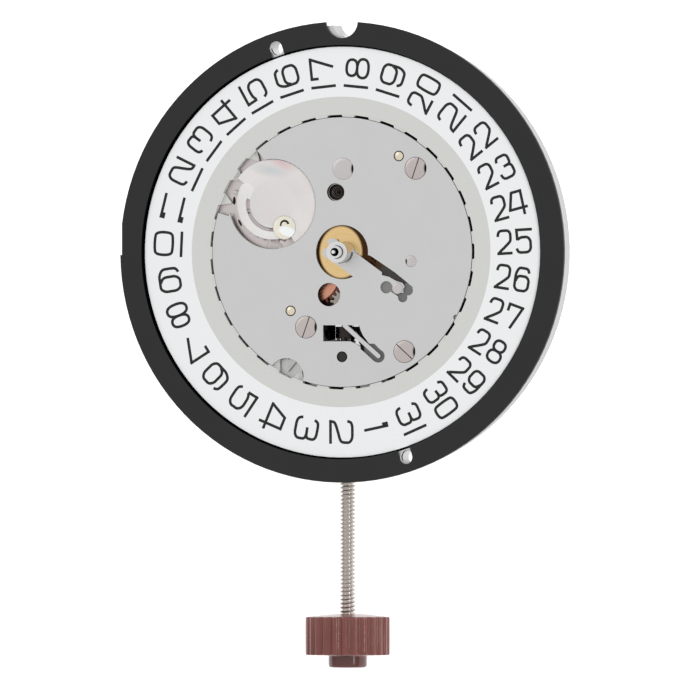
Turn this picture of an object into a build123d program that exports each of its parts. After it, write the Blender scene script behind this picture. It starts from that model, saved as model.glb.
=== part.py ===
from build123d import *

import os
from math import asin, atan2, cos, degrees, hypot, radians, sin, sqrt, tan

os.makedirs("parts", exist_ok=True)

# A quartz watch movement with a date ring, made dial side up. The hands turn about +Z, the dial rests
# on the black ring at Z = 0, and the stem leaves towards -Y. All lengths are millimetres.

# Clearances that pieces share
running_gap = 0.03  # radial, between an arbor or post and its bore
pocket_gap = 0.12  # around a wheel that turns in a pocket
axial_gap = 0.04  # between neighbouring layers of the motion work
floor_gap = 0.03  # between a wheel and the floor of its pocket
overrun = 0.40  # how far a cut runs past what it cuts

# Dial ring and main plate
dial_ring_width = 1.37
dial_ring_gap = 0.05  # between the date ring's edge and the black ring's, seen from above
dial_ring_thickness = 0.25
plate_step = 0.20  # how far the black ring overhangs the plate
rim_height = 1.75
rim_clearance = 0.12  # between the date ring and the rim that holds it
foot_bore_radius = 0.39
foot_bore_inset = 0.85  # from the black ring's edge
foot_bore_angles = (108.6, -72.0)
edge_notch_radius = 0.94  # the half-round notch opposite the stem
plate_notch_shift = 0.35
edge_flat_depth = 0.10
edge_flat_length = 3.5
edge_flat_place = 1.6

# Date ring
date_count = 31
date_ring_width = 3.83
date_ring_gap = 0.15  # between the date plate's edge and the ring
date_ring_recess = 0.12
date_ring_thickness = 0.25
date_tooth_lap = 0.50  # how far the teeth reach under the date plate
date_tooth_rim_width = 0.55
date_tooth_thickness = 0.18
date_tooth_width = 5.7  # degrees, at the root
date_tooth_start = 6.1  # degrees
date_ring_play = 0.07  # between the teeth and the floor under them
tooth_root_gap = 0.03  # between the date plate's edge and the teeth's roots beside it
tooth_root_recess = 0.01  # below the ring's top

# Date plate
date_plate_radius = 7.60
date_plate_recess = 0.10
date_plate_thickness = 0.22
island_gap = 0.15  # between the tooth tips and the raised middle of the main plate
centre_opening_radius = 1.53
wheel_opening_radius = 2.55
wheel_opening_sector = (131.0, 163.0)  # degrees, where the opening breaks the plate's edge
jumper_notch_radius = 1.03
jumper_notch_share = 1.018
jumper_notch_angle = -115.1
small_notch_radius = 0.15
small_notch_angle = -28.9
layout_size = 7.60  # the size that the outlines below are shares of
# Outlines of the cuts and tongues around the centre of the date plate
tongue_shares = (
    (-0.073, 0.101), (-0.045, 0.097), (-0.026, 0.070), (0.057, 0.013), (0.078, 0.008),
    (0.147, -0.035), (0.307, -0.150),
    (0.307, -0.171), (0.170, -0.240), (0.083, -0.182), (-0.010, -0.112), (-0.112, -0.050),
    (-0.153, -0.018), (-0.146, 0.019), (-0.116, 0.032), (-0.107, 0.036), (-0.099, 0.056),
    (-0.116, 0.077), (-0.099, 0.099),
)
spring_slot_shares = (
    (0.147, -0.035), (0.160, -0.005), (0.224, -0.030), (0.407, -0.150), (0.547, -0.261),
    (0.493, -0.276), (0.467, -0.230), (0.416, -0.214), (0.362, -0.184), (0.307, -0.171), (0.307, -0.150),
)
# Round lobes of the clover-shaped cut: place, then radius
clover_shares = ((0.342, -0.261, 0.046), (0.509, -0.284, 0.038), (0.468, -0.337, 0.036))
clover_neck_shares = ((0.372, -0.290), (0.455, -0.345), (0.465, -0.320), (0.385, -0.270))
key_window_width = 1.81
key_window_height = 0.91
key_window_x = -0.205
key_window_shift = 0.375  # past the front of the sliding pinion
key_slot_shares = (
    (0.066, -0.560), (0.070, -0.5445), (0.133, -0.5445), (0.146, -0.586), (0.162, -0.6185), (0.210, -0.679),
    (0.2486, -0.679), (0.325, -0.752), (0.247, -0.8095), (0.162, -0.7345), (0.1426, -0.7204),
    (0.1426, -0.702), (0.0945, -0.6742), (0.066, -0.6626),
)
key_slot_end_radius = 0.37
key_tongue_width = 0.24
key_tongue_start_share = (0.020, -0.545)
key_tongue_end_share = (0.280, -0.771)
# Fasteners in the date plate: share of the plate's radius, then angle in degrees
plate_screw_shares = ((0.841, 47.6), (0.622, -116.5), (0.881, -56.9))
plate_screw_slot_angles = (71.0, 70.6, -42.0)
locating_pin_shares = ((0.836, 58.4), (0.589, -132.3))
small_stud_shares = ((0.535, -7.35), (0.506, -32.2))
large_stud_shares = ((0.618, 89.3),)
plate_screw_head_radius = 0.61
plate_screw_head_thickness = 0.17
plate_screw_shank_radius = 0.28
plate_screw_seat_depth = 0.14
screw_slot_width = 0.13
screw_slot_depth = 0.06
locating_pin_radius = 0.30
locating_pin_height = 0.05  # how far a pin stands above the plate
small_stud_radius = 0.32
large_stud_radius = 0.62
stud_height = 0.04
fastener_depth = 0.28  # how far fasteners reach into the main plate
copper_hole_radius = 0.66
copper_hole_share = 0.331
copper_hole_angle = -107.6
rotor_hole_radius = 0.51

# Motion work: wheels between the hands, on the dial side
minute_module = 0.095
cannon_teeth = 12
minute_teeth = 36
setting_teeth = 16
hour_module = 0.0912
minute_pinion_teeth = 10
hour_teeth = 40
idler_teeth = 30
idler_pinion_teeth = 12
date_wheel_teeth = 32
date_module = 0.125
minute_angle = 213.9
idler_angle = 126.0
date_wheel_angle = 114.0
hour_wheel_thickness = 0.12
idler_thickness = 0.08
minute_wheel_thickness = 0.14
hour_wheel_play = 0.06
post_radius = 0.20

# Pipes that carry the hands
hour_pipe_radius = 0.60  # the seat of the hour hand, from the dial seat to the pipe's end
hour_pipe_bore = 0.38
hour_pipe_top = 1.00
minute_pipe_radius = 0.35  # the seat of the minute hand
minute_pipe_bore = 0.24
minute_seat_length = 0.40
seconds_arbor_radius = 0.10  # the seat of the seconds hand
seconds_seat_length = 0.30
seat_relief = 0.02  # how much thinner a pipe is just below its seat
pipe_taper = 0.01  # how much a pipe widens from there to its foot
seat_gap = 0.02  # between the end of one pipe and the seat that starts above it
centre_pipe_radius = 0.23
centre_pipe_bore = 0.14
centre_pipe_drop = 0.22  # how far the centre wheel's pipe ends inside the minute pipe

# Date wheel, its finger and the post on it
date_disc_radius = 2.48
date_disc_inner_radius = 1.40
date_disc_thickness = 0.18
date_disc_recess = 0.18
date_gear_thickness = 0.10
finger_inner_radius = 1.58
finger_outer_radius = 2.12
finger_gap = 0.12
finger_reach = 2.62
finger_tip_width = 0.30
finger_start = 160.5  # degrees about the date wheel, at the tip
finger_end = 300.0
finger_head_start = 145.0  # the broad end of the finger above its tip
finger_head_inner_radius = 1.47
date_post_radius = 0.68
date_post_place = 1.50
date_post_angle = -63.0
date_post_height = 0.06

# Date jumper
jumper_inset = 0.60  # from the edge of the plate's raised middle
jumper_width = 0.22
jumper_tip_angle = -115.86
jumper_root_angle = -150.0
jumper_root_radius = 0.40
jumper_thickness = 0.18
jumper_tip_depth = 0.42  # how far the tip reaches between the teeth
jumper_tip_width = 0.55
jumper_pocket_depth = 0.28

# Going train, on the back
web_thickness = 0.32
train_gap = 0.15
train_wheel_thickness = 0.15
rotor_module = 0.07
rotor_pinion_teeth = 8
intermediate_teeth = 40
intermediate_pinion_teeth = 8
seconds_teeth = 48
third_module = 0.0582
seconds_pinion_teeth = 8
third_teeth = 60
third_pinion_teeth = 8
centre_teeth = 64
intermediate_angle = 115.5
rotor_angle = 73.6
third_angle = -25.0
arbor_radius = 0.08
pivot_length = 0.18
magnet_radius = 0.75
magnet_height = 0.60
magnet_drop = 0.15
rotor_bearing_radius = 0.45
rotor_bearing_height = 0.40
rotor_bearing_recess = 0.22

# Train bridge
bridge_thickness = 0.25
bridge_gap = 0.08
bridge_pillar_radius = 0.55
bridge_edge_radius = 0.45
# Bridge screws: distance as a share of the third wheel's distance, then angle
bridge_screw_shares = ((2.056, -62.2), (1.529, 187.6), (2.982, 88.1))
bridge_screw_head_radius = 0.42
bridge_screw_head_thickness = 0.12
bridge_screw_shank_radius = 0.22
jewel_radius = 0.28

# Stator and coil
stator_drop = 0.30
stator_thickness = 0.30
stator_hole_radius = 0.90
stator_ring_radius = 1.35
stator_arm_width = 1.10
stator_elbow = 2.2  # how far the arms run square to the coil before they turn to the rotor
stator_notch = 0.16
stator_notch_turn = -20.0  # degrees from the coil's line
coil_inset = 4.829  # from the plate's edge to the coil's middle
coil_place_angle = 160.2
coil_angle = 70.0
coil_span = 8.0  # between the two coil screws
winding_inset = 2.6  # how much shorter than the span the winding is
winding_radius = 0.68
core_width = 0.70
core_thickness = 0.30
coil_pad_radius = 0.70
bobbin_end_thickness = 0.25
bobbin_end_width = 1.56
bobbin_end_height = 1.40
coil_screw_head_radius = 0.42
coil_screw_head_thickness = 0.14
coil_screw_shank_radius = 0.20

# Circuit, crystal and cover
board_inner_radius = 5.5
board_margin = 0.16  # between the board and the dial-foot bores
board_sector = (197.0, 342.0)  # degrees
board_thickness = 0.15
chip_size = 2.2
chip_height = 0.35
chip_inset = 2.42  # from the board's edge
chip_angle = 299.4
crystal_radius = 0.72
crystal_length = 5.0
crystal_inset = 2.34  # from the board's edge
crystal_angle = 225.0
crystal_pocket_margin = 0.20
crystal_pocket_roof = 0.62
crystal_lead_radius = 0.10
crystal_lead_length = 0.60
crystal_lead_pitch = 0.60
cover_drop = 0.60
cover_thickness = 0.15
cover_inner_step = 0.70
cover_outer_step = 0.20
cover_sector = (200.0, 336.0)
cover_pillar_radius = 0.65
cover_pillar_inset = 2.10  # from the board's edge
cover_pillar_angles = (205.0, 262.0, 331.0)
cover_screw_head_radius = 0.60
cover_screw_head_thickness = 0.10
cover_screw_shank_radius = 0.28
cover_screw_length = 1.20
cover_window_margin = 0.30

# Battery
battery_radius = 4.75
battery_height = 2.00
battery_cap_radius = 3.90
battery_step = 0.25
battery_rim_wall = 0.308  # the thinnest wall between the battery's well and the rim
battery_angle = 38.073
battery_gap = 0.12
battery_web = 0.30
insulator_thickness = 0.05
insulator_inner_radius = 4.0
contact_thickness = 0.05
contact_width = 0.80
contact_shift = 1.8  # from the battery's middle
contact_inset = 1.7  # from the battery's middle to the contact's end
contact_slot_length = 3.2
contact_slot_margin = 0.20
contact_foot = 0.60  # how far the contact's foot laps the board

# Stem, crown and keyless works: distances are measured from the hands' axis towards -Y
stem_depth = 1.28
pilot_start = 2.65
pilot_length = 1.20
pilot_radius = 0.20
square_length = 3.85
square_width = 0.56
collar_length = 0.48
collar_radius = 0.42
groove_length = 0.44
groove_radius = 0.25
neck_length = 1.28
bearing_inset = 0.10  # from the plate's edge
bearing_radius = 0.50
thread_radius = 0.45
thread_grip = 1.33  # how far the thread reaches into the crown
pull_travel = 0.90
clutch_travel = 0.45
sliding_inset = 0.35  # from the square's end
sliding_length = 1.30
sliding_radius = 0.68
sliding_groove_inset = 0.68
sliding_groove_width = 0.39
sliding_groove_radius = 0.40
clutch_teeth = 12
clutch_tooth_depth = 0.15
corrector_gap = 0.60  # between the sliding pinion and the corrector pinion
corrector_length = 0.60
corrector_radius = 0.68
corrector_pinion_teeth = 12
corrector_wheel_shift = 0.20  # ahead of the corrector pinion
corrector_wheel_teeth = 20
corrector_wheel_radius = 1.10
corrector_wheel_thickness = 0.20
corrector_arbor_radius = 0.25
key_pocket_half_width = 0.92
key_pocket_gap = 0.05  # ahead of the shifted sliding pinion
pilot_bore_gap = 0.20
stem_reach = 7.57  # from the black ring's edge to the crown
crown_length = 2.16
crown_radius = 2.38
crown_flutes = 25
flute_radius = 0.19
crown_boss_radius = 1.085
crown_boss_length = 0.71
crown_chamfer = 0.10
crown_collar_radius = 0.85
crown_collar_height = 0.17

# Setting lever, yoke and lever spring
lever_thickness = 0.18
lever_gap = 0.02
lever_pocket_depth = 0.24
lever_pocket_margin = 0.18
lever_pivot_x = 1.90
lever_pivot_radius = 0.40
lever_tip_radius = 0.24
lever_stud_radius = 0.15
lever_stud_reach = 0.17
lever_post_radius = 0.15
yoke_pivot_x = -2.90
yoke_drop = 0.525  # from the yoke's tip to its pivot, along the stem
yoke_pivot_radius = 0.38
yoke_arm_width = 0.30
yoke_prong_x = -0.56
yoke_prong_width = 0.18
yoke_prong_length = 0.24
spring_root_x = 2.60  # from the setting lever's pivot
spring_root_y = 0.80
spring_root_radius = 0.42
spring_tip_x = 0.65
spring_tip_y = 0.10
spring_width = 0.16
spring_screw_radius = 0.20

# Tooth widths as shares of the tooth pitch, and tooth heights as shares of the module
tooth_root_share = 0.31
tooth_tip_share = 0.14
addendum_share = 1.0
dedendum_share = 1.25

# Radii, worked out from the middle to the rim
date_ring_inner_radius = date_plate_radius + date_ring_gap
date_tooth_tip_radius = date_plate_radius - date_tooth_lap
date_tooth_rim_radius = date_ring_inner_radius + date_tooth_rim_width
date_ring_outer_radius = date_ring_inner_radius + date_ring_width
rim_inner_radius = date_ring_outer_radius + rim_clearance
dial_ring_inner_radius = date_ring_outer_radius + dial_ring_gap
dial_ring_radius = dial_ring_inner_radius + dial_ring_width
plate_radius = dial_ring_radius - plate_step
island_radius = date_tooth_tip_radius - island_gap
jumper_radius = island_radius - jumper_inset
jumper_reach = date_tooth_tip_radius + jumper_tip_depth
foot_bore_place = dial_ring_radius - foot_bore_inset
board_outer_radius = foot_bore_place - foot_bore_radius - board_margin
cover_inner_radius = board_inner_radius + cover_inner_step
cover_outer_radius = board_outer_radius - cover_outer_step
cover_pillar_place = board_outer_radius - cover_pillar_inset
winding_length = coil_span - winding_inset

# Distances along the stem, worked out from its inner end to the crown
square_start = pilot_start + pilot_length
square_end = square_start + square_length
groove_start = square_end + collar_length
groove_end = groove_start + groove_length
bearing_start = groove_end + neck_length
bearing_end = plate_radius - bearing_inset
crown_start = dial_ring_radius + stem_reach
crown_end = crown_start + crown_length
crown_boss_end = crown_end + crown_boss_length
thread_end = crown_start + thread_grip
sliding_start = square_start + sliding_inset
sliding_end = sliding_start + sliding_length
sliding_groove_start = sliding_start + sliding_groove_inset
sliding_groove_end = sliding_groove_start + sliding_groove_width
corrector_start = sliding_end + corrector_gap
corrector_end = corrector_start + corrector_length
key_pocket_start = sliding_start - clutch_travel - key_pocket_gap
key_pocket_end = square_end + key_pocket_gap
pilot_bore_end = pilot_start - pilot_bore_gap
key_window_y = -sliding_start - key_window_shift

# Levels, worked out from the thicknesses above
dial_ring_bottom = -dial_ring_thickness
plate_back = dial_ring_bottom - rim_height
date_plate_top = -date_plate_recess
date_plate_bottom = date_plate_top - date_plate_thickness
date_ring_top = -date_ring_recess
date_ring_bottom = date_ring_top - date_ring_thickness
date_tooth_bottom = date_ring_bottom - date_tooth_thickness
floor_level = date_tooth_bottom - date_ring_play
hour_wheel_top = date_plate_bottom - hour_wheel_play
hour_wheel_bottom = hour_wheel_top - hour_wheel_thickness
idler_top = hour_wheel_bottom - axial_gap
idler_bottom = idler_top - idler_thickness
minute_wheel_top = idler_bottom - axial_gap
minute_wheel_bottom = minute_wheel_top - minute_wheel_thickness
motion_floor = minute_wheel_bottom - floor_gap
web_bottom = motion_floor - web_thickness
centre_wheel_top = web_bottom - pocket_gap
centre_wheel_bottom = centre_wheel_top - train_wheel_thickness
third_wheel_top = centre_wheel_bottom - train_gap
third_wheel_bottom = third_wheel_top - train_wheel_thickness
seconds_wheel_top = third_wheel_bottom - train_gap
seconds_wheel_bottom = seconds_wheel_top - train_wheel_thickness
intermediate_top = seconds_wheel_bottom - bridge_gap
intermediate_bottom = intermediate_top - train_wheel_thickness
bridge_top = intermediate_bottom - bridge_gap
bridge_bottom = bridge_top - bridge_thickness
magnet_top = web_bottom - magnet_drop
magnet_bottom = magnet_top - magnet_height
stator_top = web_bottom - stator_drop
stator_bottom = stator_top - stator_thickness
core_bottom = stator_bottom - core_thickness
coil_level = stator_bottom - core_thickness / 2
rotor_bearing_top = date_plate_bottom - rotor_bearing_recess
rotor_bearing_bottom = rotor_bearing_top - rotor_bearing_height
battery_floor = floor_level - battery_web
battery_top = battery_floor - insulator_thickness
battery_bottom = battery_top - battery_height
board_bottom = plate_back - board_thickness
cover_top = board_bottom - cover_drop
cover_bottom = cover_top - cover_thickness
crystal_roof = floor_level - crystal_pocket_roof
crystal_level = crystal_roof - crystal_radius
crystal_pocket_length = crystal_length + 2 * crystal_lead_length
crystal_pocket_width = 2 * (crystal_radius + crystal_pocket_margin)
lever_top = floor_level - lever_gap
lever_bottom = lever_top - lever_thickness
lever_floor = floor_level - lever_pocket_depth
date_disc_top = -date_disc_recess
gear_top = date_disc_top - date_disc_thickness
gear_bottom = gear_top - date_gear_thickness
jumper_top = hour_wheel_top
jumper_bottom = jumper_top - jumper_thickness
jumper_floor = date_plate_bottom - jumper_pocket_depth
fastener_bottom = date_plate_bottom - fastener_depth
stem_level = -stem_depth
minute_pipe_top = hour_pipe_top + seat_gap + minute_seat_length
seconds_arbor_top = minute_pipe_top + seat_gap + seconds_seat_length
centre_pipe_top = minute_pipe_top - centre_pipe_drop


def polar(distance, angle, start=(0, 0)):
    """The point at a distance and an angle in degrees from a starting point."""
    return (start[0] + distance * cos(radians(angle)), start[1] + distance * sin(radians(angle)))


def tip_radius(teeth, module):
    """Radius over the tips of a wheel's teeth."""
    return module * (teeth / 2 + addendum_share)


def centre_distance(teeth, other_teeth, module):
    """Distance between two wheels in mesh."""
    return module * (teeth + other_teeth) / 2


def meshed_turn(turn, teeth, other_teeth, angle):
    """Turn, in degrees, that seats another wheel's tooth gap on the tooth of the wheel beside it."""
    past_tooth = (angle - turn) % (360 / teeth)
    return angle + 180 + past_tooth * teeth / other_teeth + 180 / other_teeth


def gear_face(teeth, module, turn=0):
    """A toothed face around the origin, with one tooth at the given angle."""
    tip = tip_radius(teeth, module)
    root = module * (teeth / 2 - dedendum_share)
    pitch = 360 / teeth
    points = []
    for index in range(teeth):
        middle = turn + index * pitch
        points.append(polar(root, middle - tooth_root_share * pitch))
        points.append(polar(tip, middle - tooth_tip_share * pitch))
        points.append(polar(tip, middle + tooth_tip_share * pitch))
        points.append(polar(root, middle + tooth_root_share * pitch))
    with BuildSketch() as face:
        with BuildLine():
            Polyline(*points, close=True)
        make_face()
    return face.sketch


def sector_face(inner, outer, start, end):
    """A ring sector around the origin between two angles in degrees."""
    middle = (start + end) / 2
    with BuildSketch() as face:
        with BuildLine():
            Line(polar(inner, start), polar(outer, start))
            ThreePointArc(polar(outer, start), polar(outer, middle), polar(outer, end))
            Line(polar(outer, end), polar(inner, end))
            ThreePointArc(polar(inner, end), polar(inner, middle), polar(inner, start))
        make_face()
    return face.sketch


def arm_face(start, end, width):
    """A round-ended strip between two points."""
    with BuildSketch() as face:
        middle = ((start[0] + end[0]) / 2, (start[1] + end[1]) / 2)
        length = hypot(end[0] - start[0], end[1] - start[1])
        with Locations(middle):
            SlotCenterToCenter(length, width, rotation=degrees(atan2(end[1] - start[1], end[0] - start[0])))
    return face.sketch


def hull_face(*circles):
    """The face stretched around circles, each given as a place and a radius."""
    with BuildSketch() as face:
        for place, radius in circles:
            with Locations(place):
                Circle(radius)
        make_hull()
    return face.sketch


def shares_face(shares, size):
    """A face whose corners are shares of one size."""
    with BuildSketch() as face:
        with BuildLine():
            Polyline(*[(x * size, y * size) for x, y in shares], close=True)
        make_face()
    return face.sketch


def plate_places(shares):
    """Places on the date plate from shares of its radius and angles."""
    return [polar(share * date_plate_radius, angle) for share, angle in shares]


# Places of the wheels, each worked out from the wheel that it meshes with
centre = (0, 0)
minute_place = polar(centre_distance(cannon_teeth, minute_teeth, minute_module), minute_angle)
setting_distance = centre_distance(minute_teeth, setting_teeth, minute_module)
setting_place = (0, minute_place[1] - sqrt(setting_distance**2 - minute_place[0] ** 2))
idler_distance = centre_distance(minute_pinion_teeth, idler_teeth, hour_module)
idler_place = polar(idler_distance, idler_angle, minute_place)
date_distance = centre_distance(idler_pinion_teeth, date_wheel_teeth, date_module)
date_wheel_place = polar(date_distance, date_wheel_angle, idler_place)
intermediate_distance = centre_distance(seconds_teeth, intermediate_pinion_teeth, rotor_module)
intermediate_place = polar(intermediate_distance, intermediate_angle)
rotor_distance = centre_distance(rotor_pinion_teeth, intermediate_teeth, rotor_module)
rotor_place = polar(rotor_distance, rotor_angle, intermediate_place)
third_distance = centre_distance(seconds_pinion_teeth, third_teeth, third_module)
third_place = polar(third_distance, third_angle)
centre_module = 2 * third_distance / (third_pinion_teeth + centre_teeth)
bridge_screw_places = [polar(share * third_distance, angle) for share, angle in bridge_screw_shares]
battery_place = polar(plate_radius - battery_rim_wall - battery_gap - battery_radius, battery_angle)
contact_x = battery_place[0] + contact_shift
contact_reach = battery_place[1] - contact_inset
coil_place = polar(plate_radius - coil_inset, coil_place_angle)
coil_ends_places = [polar(side * coil_span / 2, coil_angle, coil_place) for side in (1, -1)]
stator_elbows = [polar(stator_elbow, coil_angle - 90, end) for end in coil_ends_places]
cover_places = [polar(cover_pillar_place, angle) for angle in cover_pillar_angles]
crystal_middle = polar(board_outer_radius - crystal_inset, crystal_angle)
crystal_turn = crystal_angle + 90
chip_middle = polar(board_outer_radius - chip_inset, chip_angle)
corrector_place = (0, corrector_wheel_shift - corrector_start)
lever_swing = 2 * asin(pull_travel / 2 / hypot(lever_pivot_x, pull_travel / 2))
lever_groove = (groove_start + groove_end) / 2
lever_pivot = (lever_pivot_x, -lever_groove - pull_travel / 2)
lever_tip = (0, -lever_groove)
lever_tip_pulled = (0, -lever_groove - pull_travel)
yoke_tip = (yoke_prong_x, -(sliding_groove_start + sliding_groove_end) / 2)
yoke_pivot = (yoke_pivot_x, yoke_tip[1] - yoke_drop)
yoke_tip_pulled = (yoke_prong_x, yoke_tip[1] + clutch_travel)
yoke_arm = hypot(yoke_tip[0] - yoke_pivot[0], yoke_tip[1] - yoke_pivot[1])
yoke_lift = yoke_tip[1] - yoke_pivot[1]
yoke_swing = asin((yoke_lift + clutch_travel) / yoke_arm) - asin(yoke_lift / yoke_arm)
spring_root = (lever_pivot[0] + spring_root_x, lever_pivot[1] + spring_root_y)
spring_tip = (lever_pivot[0] + spring_tip_x, lever_pivot[1] + spring_tip_y)

# Turns that seat the teeth of each pair in mesh
minute_turn = meshed_turn(0, cannon_teeth, minute_teeth, minute_angle)
hour_turn = meshed_turn(0, minute_pinion_teeth, hour_teeth, minute_angle + 180)
idler_turn = meshed_turn(0, minute_pinion_teeth, idler_teeth, idler_angle)
date_gear_turn = meshed_turn(0, idler_pinion_teeth, date_wheel_teeth, date_wheel_angle)
setting_angle = degrees(atan2(setting_place[1] - minute_place[1], setting_place[0] - minute_place[0]))
setting_turn = meshed_turn(minute_turn, minute_teeth, setting_teeth, setting_angle)
third_turn = meshed_turn(0, seconds_pinion_teeth, third_teeth, third_angle)
centre_turn = meshed_turn(0, third_pinion_teeth, centre_teeth, third_angle + 180)
intermediate_turn = meshed_turn(0, rotor_pinion_teeth, intermediate_teeth, rotor_angle + 180)
intermediate_pinion_turn = meshed_turn(0, seconds_teeth, intermediate_pinion_teeth, intermediate_angle)

on_base = (Align.CENTER, Align.CENTER, Align.MIN)


def save(piece, name):
    """Label a finished piece and write it."""
    piece.part.label = name
    export_step(piece.part, f"parts/{name}.step")


def make_dial_ring():
    """The black ring that the dial rests on, with its notch and two dial-foot slots."""
    with BuildPart() as dial_ring:
        with BuildSketch(Plane.XY.offset(dial_ring_bottom)):
            Circle(dial_ring_radius)
            Circle(dial_ring_inner_radius, mode=Mode.SUBTRACT)
            with Locations((0, dial_ring_radius)):
                Circle(edge_notch_radius, mode=Mode.SUBTRACT)
            with Locations((-dial_ring_radius, edge_flat_place)):
                Rectangle(2 * edge_flat_depth, edge_flat_length, mode=Mode.SUBTRACT)
            for angle in foot_bore_angles:
                slot = arm_face(
                    polar(dial_ring_inner_radius - foot_bore_radius, angle),
                    polar(foot_bore_place, angle),
                    2 * foot_bore_radius,
                )
                add(slot, mode=Mode.SUBTRACT)
        extrude(amount=dial_ring_thickness)
    save(dial_ring, "dial_ring")


def make_main_plate():
    """The plate that carries everything: rim, raised middle, posts and the pockets of both sides."""
    with BuildPart() as main_plate:
        with BuildSketch(Plane.XY.offset(plate_back)):
            Circle(plate_radius)
        extrude(amount=floor_level - plate_back)
        with BuildSketch(Plane.XY.offset(floor_level)):
            Circle(plate_radius)
            Circle(rim_inner_radius, mode=Mode.SUBTRACT)
        extrude(amount=dial_ring_bottom - floor_level)
        with BuildSketch(Plane.XY.offset(floor_level)):
            Circle(island_radius)
        extrude(amount=date_plate_bottom - floor_level)

        # Dial side: pockets of the hour wheel, idler and date wheel, then the deeper ones
        with BuildSketch(Plane.XY.offset(hour_wheel_bottom - floor_gap)):
            Circle(tip_radius(hour_teeth, hour_module) + pocket_gap)
        extrude(amount=date_plate_bottom - hour_wheel_bottom + floor_gap, mode=Mode.SUBTRACT)
        with BuildSketch(Plane.XY.offset(floor_level)):
            with Locations(date_wheel_place):
                Circle(finger_reach + pocket_gap)
        extrude(amount=date_plate_bottom - floor_level, mode=Mode.SUBTRACT)
        with BuildSketch(Plane.XY.offset(idler_bottom - floor_gap)):
            with Locations(idler_place):
                Circle(tip_radius(idler_teeth, hour_module) + pocket_gap)
        extrude(amount=date_plate_bottom - idler_bottom + floor_gap, mode=Mode.SUBTRACT)
        with BuildSketch(Plane.XY.offset(motion_floor)):
            Circle(tip_radius(cannon_teeth, minute_module) + pocket_gap)
            with Locations(minute_place):
                Circle(tip_radius(minute_teeth, minute_module) + pocket_gap)
            with Locations(setting_place):
                Circle(tip_radius(setting_teeth, minute_module) + pocket_gap)
        extrude(amount=date_plate_bottom - motion_floor, mode=Mode.SUBTRACT)

        # Dial side: keyless works, corrector wheel and date jumper
        with BuildSketch(Plane.XY.offset(lever_floor)):
            lever_margin = lever_pivot_radius + lever_pocket_margin
            tip_margin = lever_tip_radius + lever_pocket_margin
            tips = ((lever_tip, tip_margin), (lever_tip_pulled, tip_margin))
            add(hull_face((lever_pivot, lever_margin), *tips))
            yoke_margin = yoke_pivot_radius + lever_pocket_margin
            arm_margin = yoke_arm_width / 2 + lever_pocket_margin
            tips = ((yoke_tip, arm_margin), (yoke_tip_pulled, arm_margin))
            add(hull_face((yoke_pivot, yoke_margin), *tips))
            spring_margin = spring_root_radius + lever_pocket_margin / 2
            add(hull_face((spring_root, spring_margin), (spring_tip, spring_width)))
        extrude(amount=date_plate_bottom - lever_floor, mode=Mode.SUBTRACT)
        with BuildSketch(Plane.XY.offset(jumper_floor)):
            with Locations(corrector_place):
                Circle(corrector_wheel_radius + pocket_gap)
            pocket_inner = jumper_radius - jumper_width / 2 - pocket_gap
            pocket_side = degrees((jumper_tip_width + pocket_gap) / jumper_radius)
            add(sector_face(pocket_inner, island_radius + overrun, jumper_root_angle,
                            jumper_tip_angle + pocket_side))
            with Locations(polar(jumper_radius, jumper_root_angle)):
                Circle(jumper_root_radius + pocket_gap)
        extrude(amount=date_plate_bottom - jumper_floor, mode=Mode.SUBTRACT)
        key_length = key_pocket_end - key_pocket_start
        with BuildSketch(Plane.XY.offset(plate_back)):
            with Locations((0, -key_pocket_start - key_length / 2)):
                Rectangle(2 * key_pocket_half_width, key_length)
        extrude(amount=date_plate_bottom - plate_back, mode=Mode.SUBTRACT)
        with BuildSketch(Plane.XZ.offset(key_pocket_end)):
            with Locations((0, stem_level)):
                Circle(bearing_radius + running_gap)
        extrude(amount=plate_radius - key_pocket_end, mode=Mode.SUBTRACT)
        with BuildSketch(Plane.XZ.offset(pilot_bore_end)):
            with Locations((0, stem_level)):
                Circle(pilot_radius + running_gap)
        extrude(amount=key_pocket_start - pilot_bore_end, mode=Mode.SUBTRACT)
        with BuildSketch(Plane.XY.offset(stem_level)):
            add(arm_face(lever_tip, lever_tip_pulled, 2 * (lever_stud_radius + pocket_gap)))
        extrude(amount=floor_level - stem_level, mode=Mode.SUBTRACT)

        # Posts that the dial-side wheels and levers turn on
        post_tops = (
            (minute_place, post_radius, motion_floor, date_plate_bottom),
            (idler_place, post_radius, idler_bottom - floor_gap, date_plate_bottom),
            (date_wheel_place, post_radius, floor_level, date_plate_bottom),
            (setting_place, lever_post_radius, motion_floor, minute_wheel_top),
            (lever_pivot, lever_post_radius, lever_floor, floor_level),
            (yoke_pivot, lever_post_radius, lever_floor, floor_level),
        )
        for place, radius, bottom, top in post_tops:
            with Locations((*place, bottom)):
                Cylinder(radius, top - bottom, align=on_base)
        with Locations((*polar(jumper_radius, jumper_root_angle), jumper_floor)):
            Cylinder(jumper_root_radius, jumper_bottom - jumper_floor, align=on_base)
        with Locations((*spring_root, lever_floor)):
            Cylinder(spring_root_radius, lever_bottom - lever_floor, align=on_base)

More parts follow.
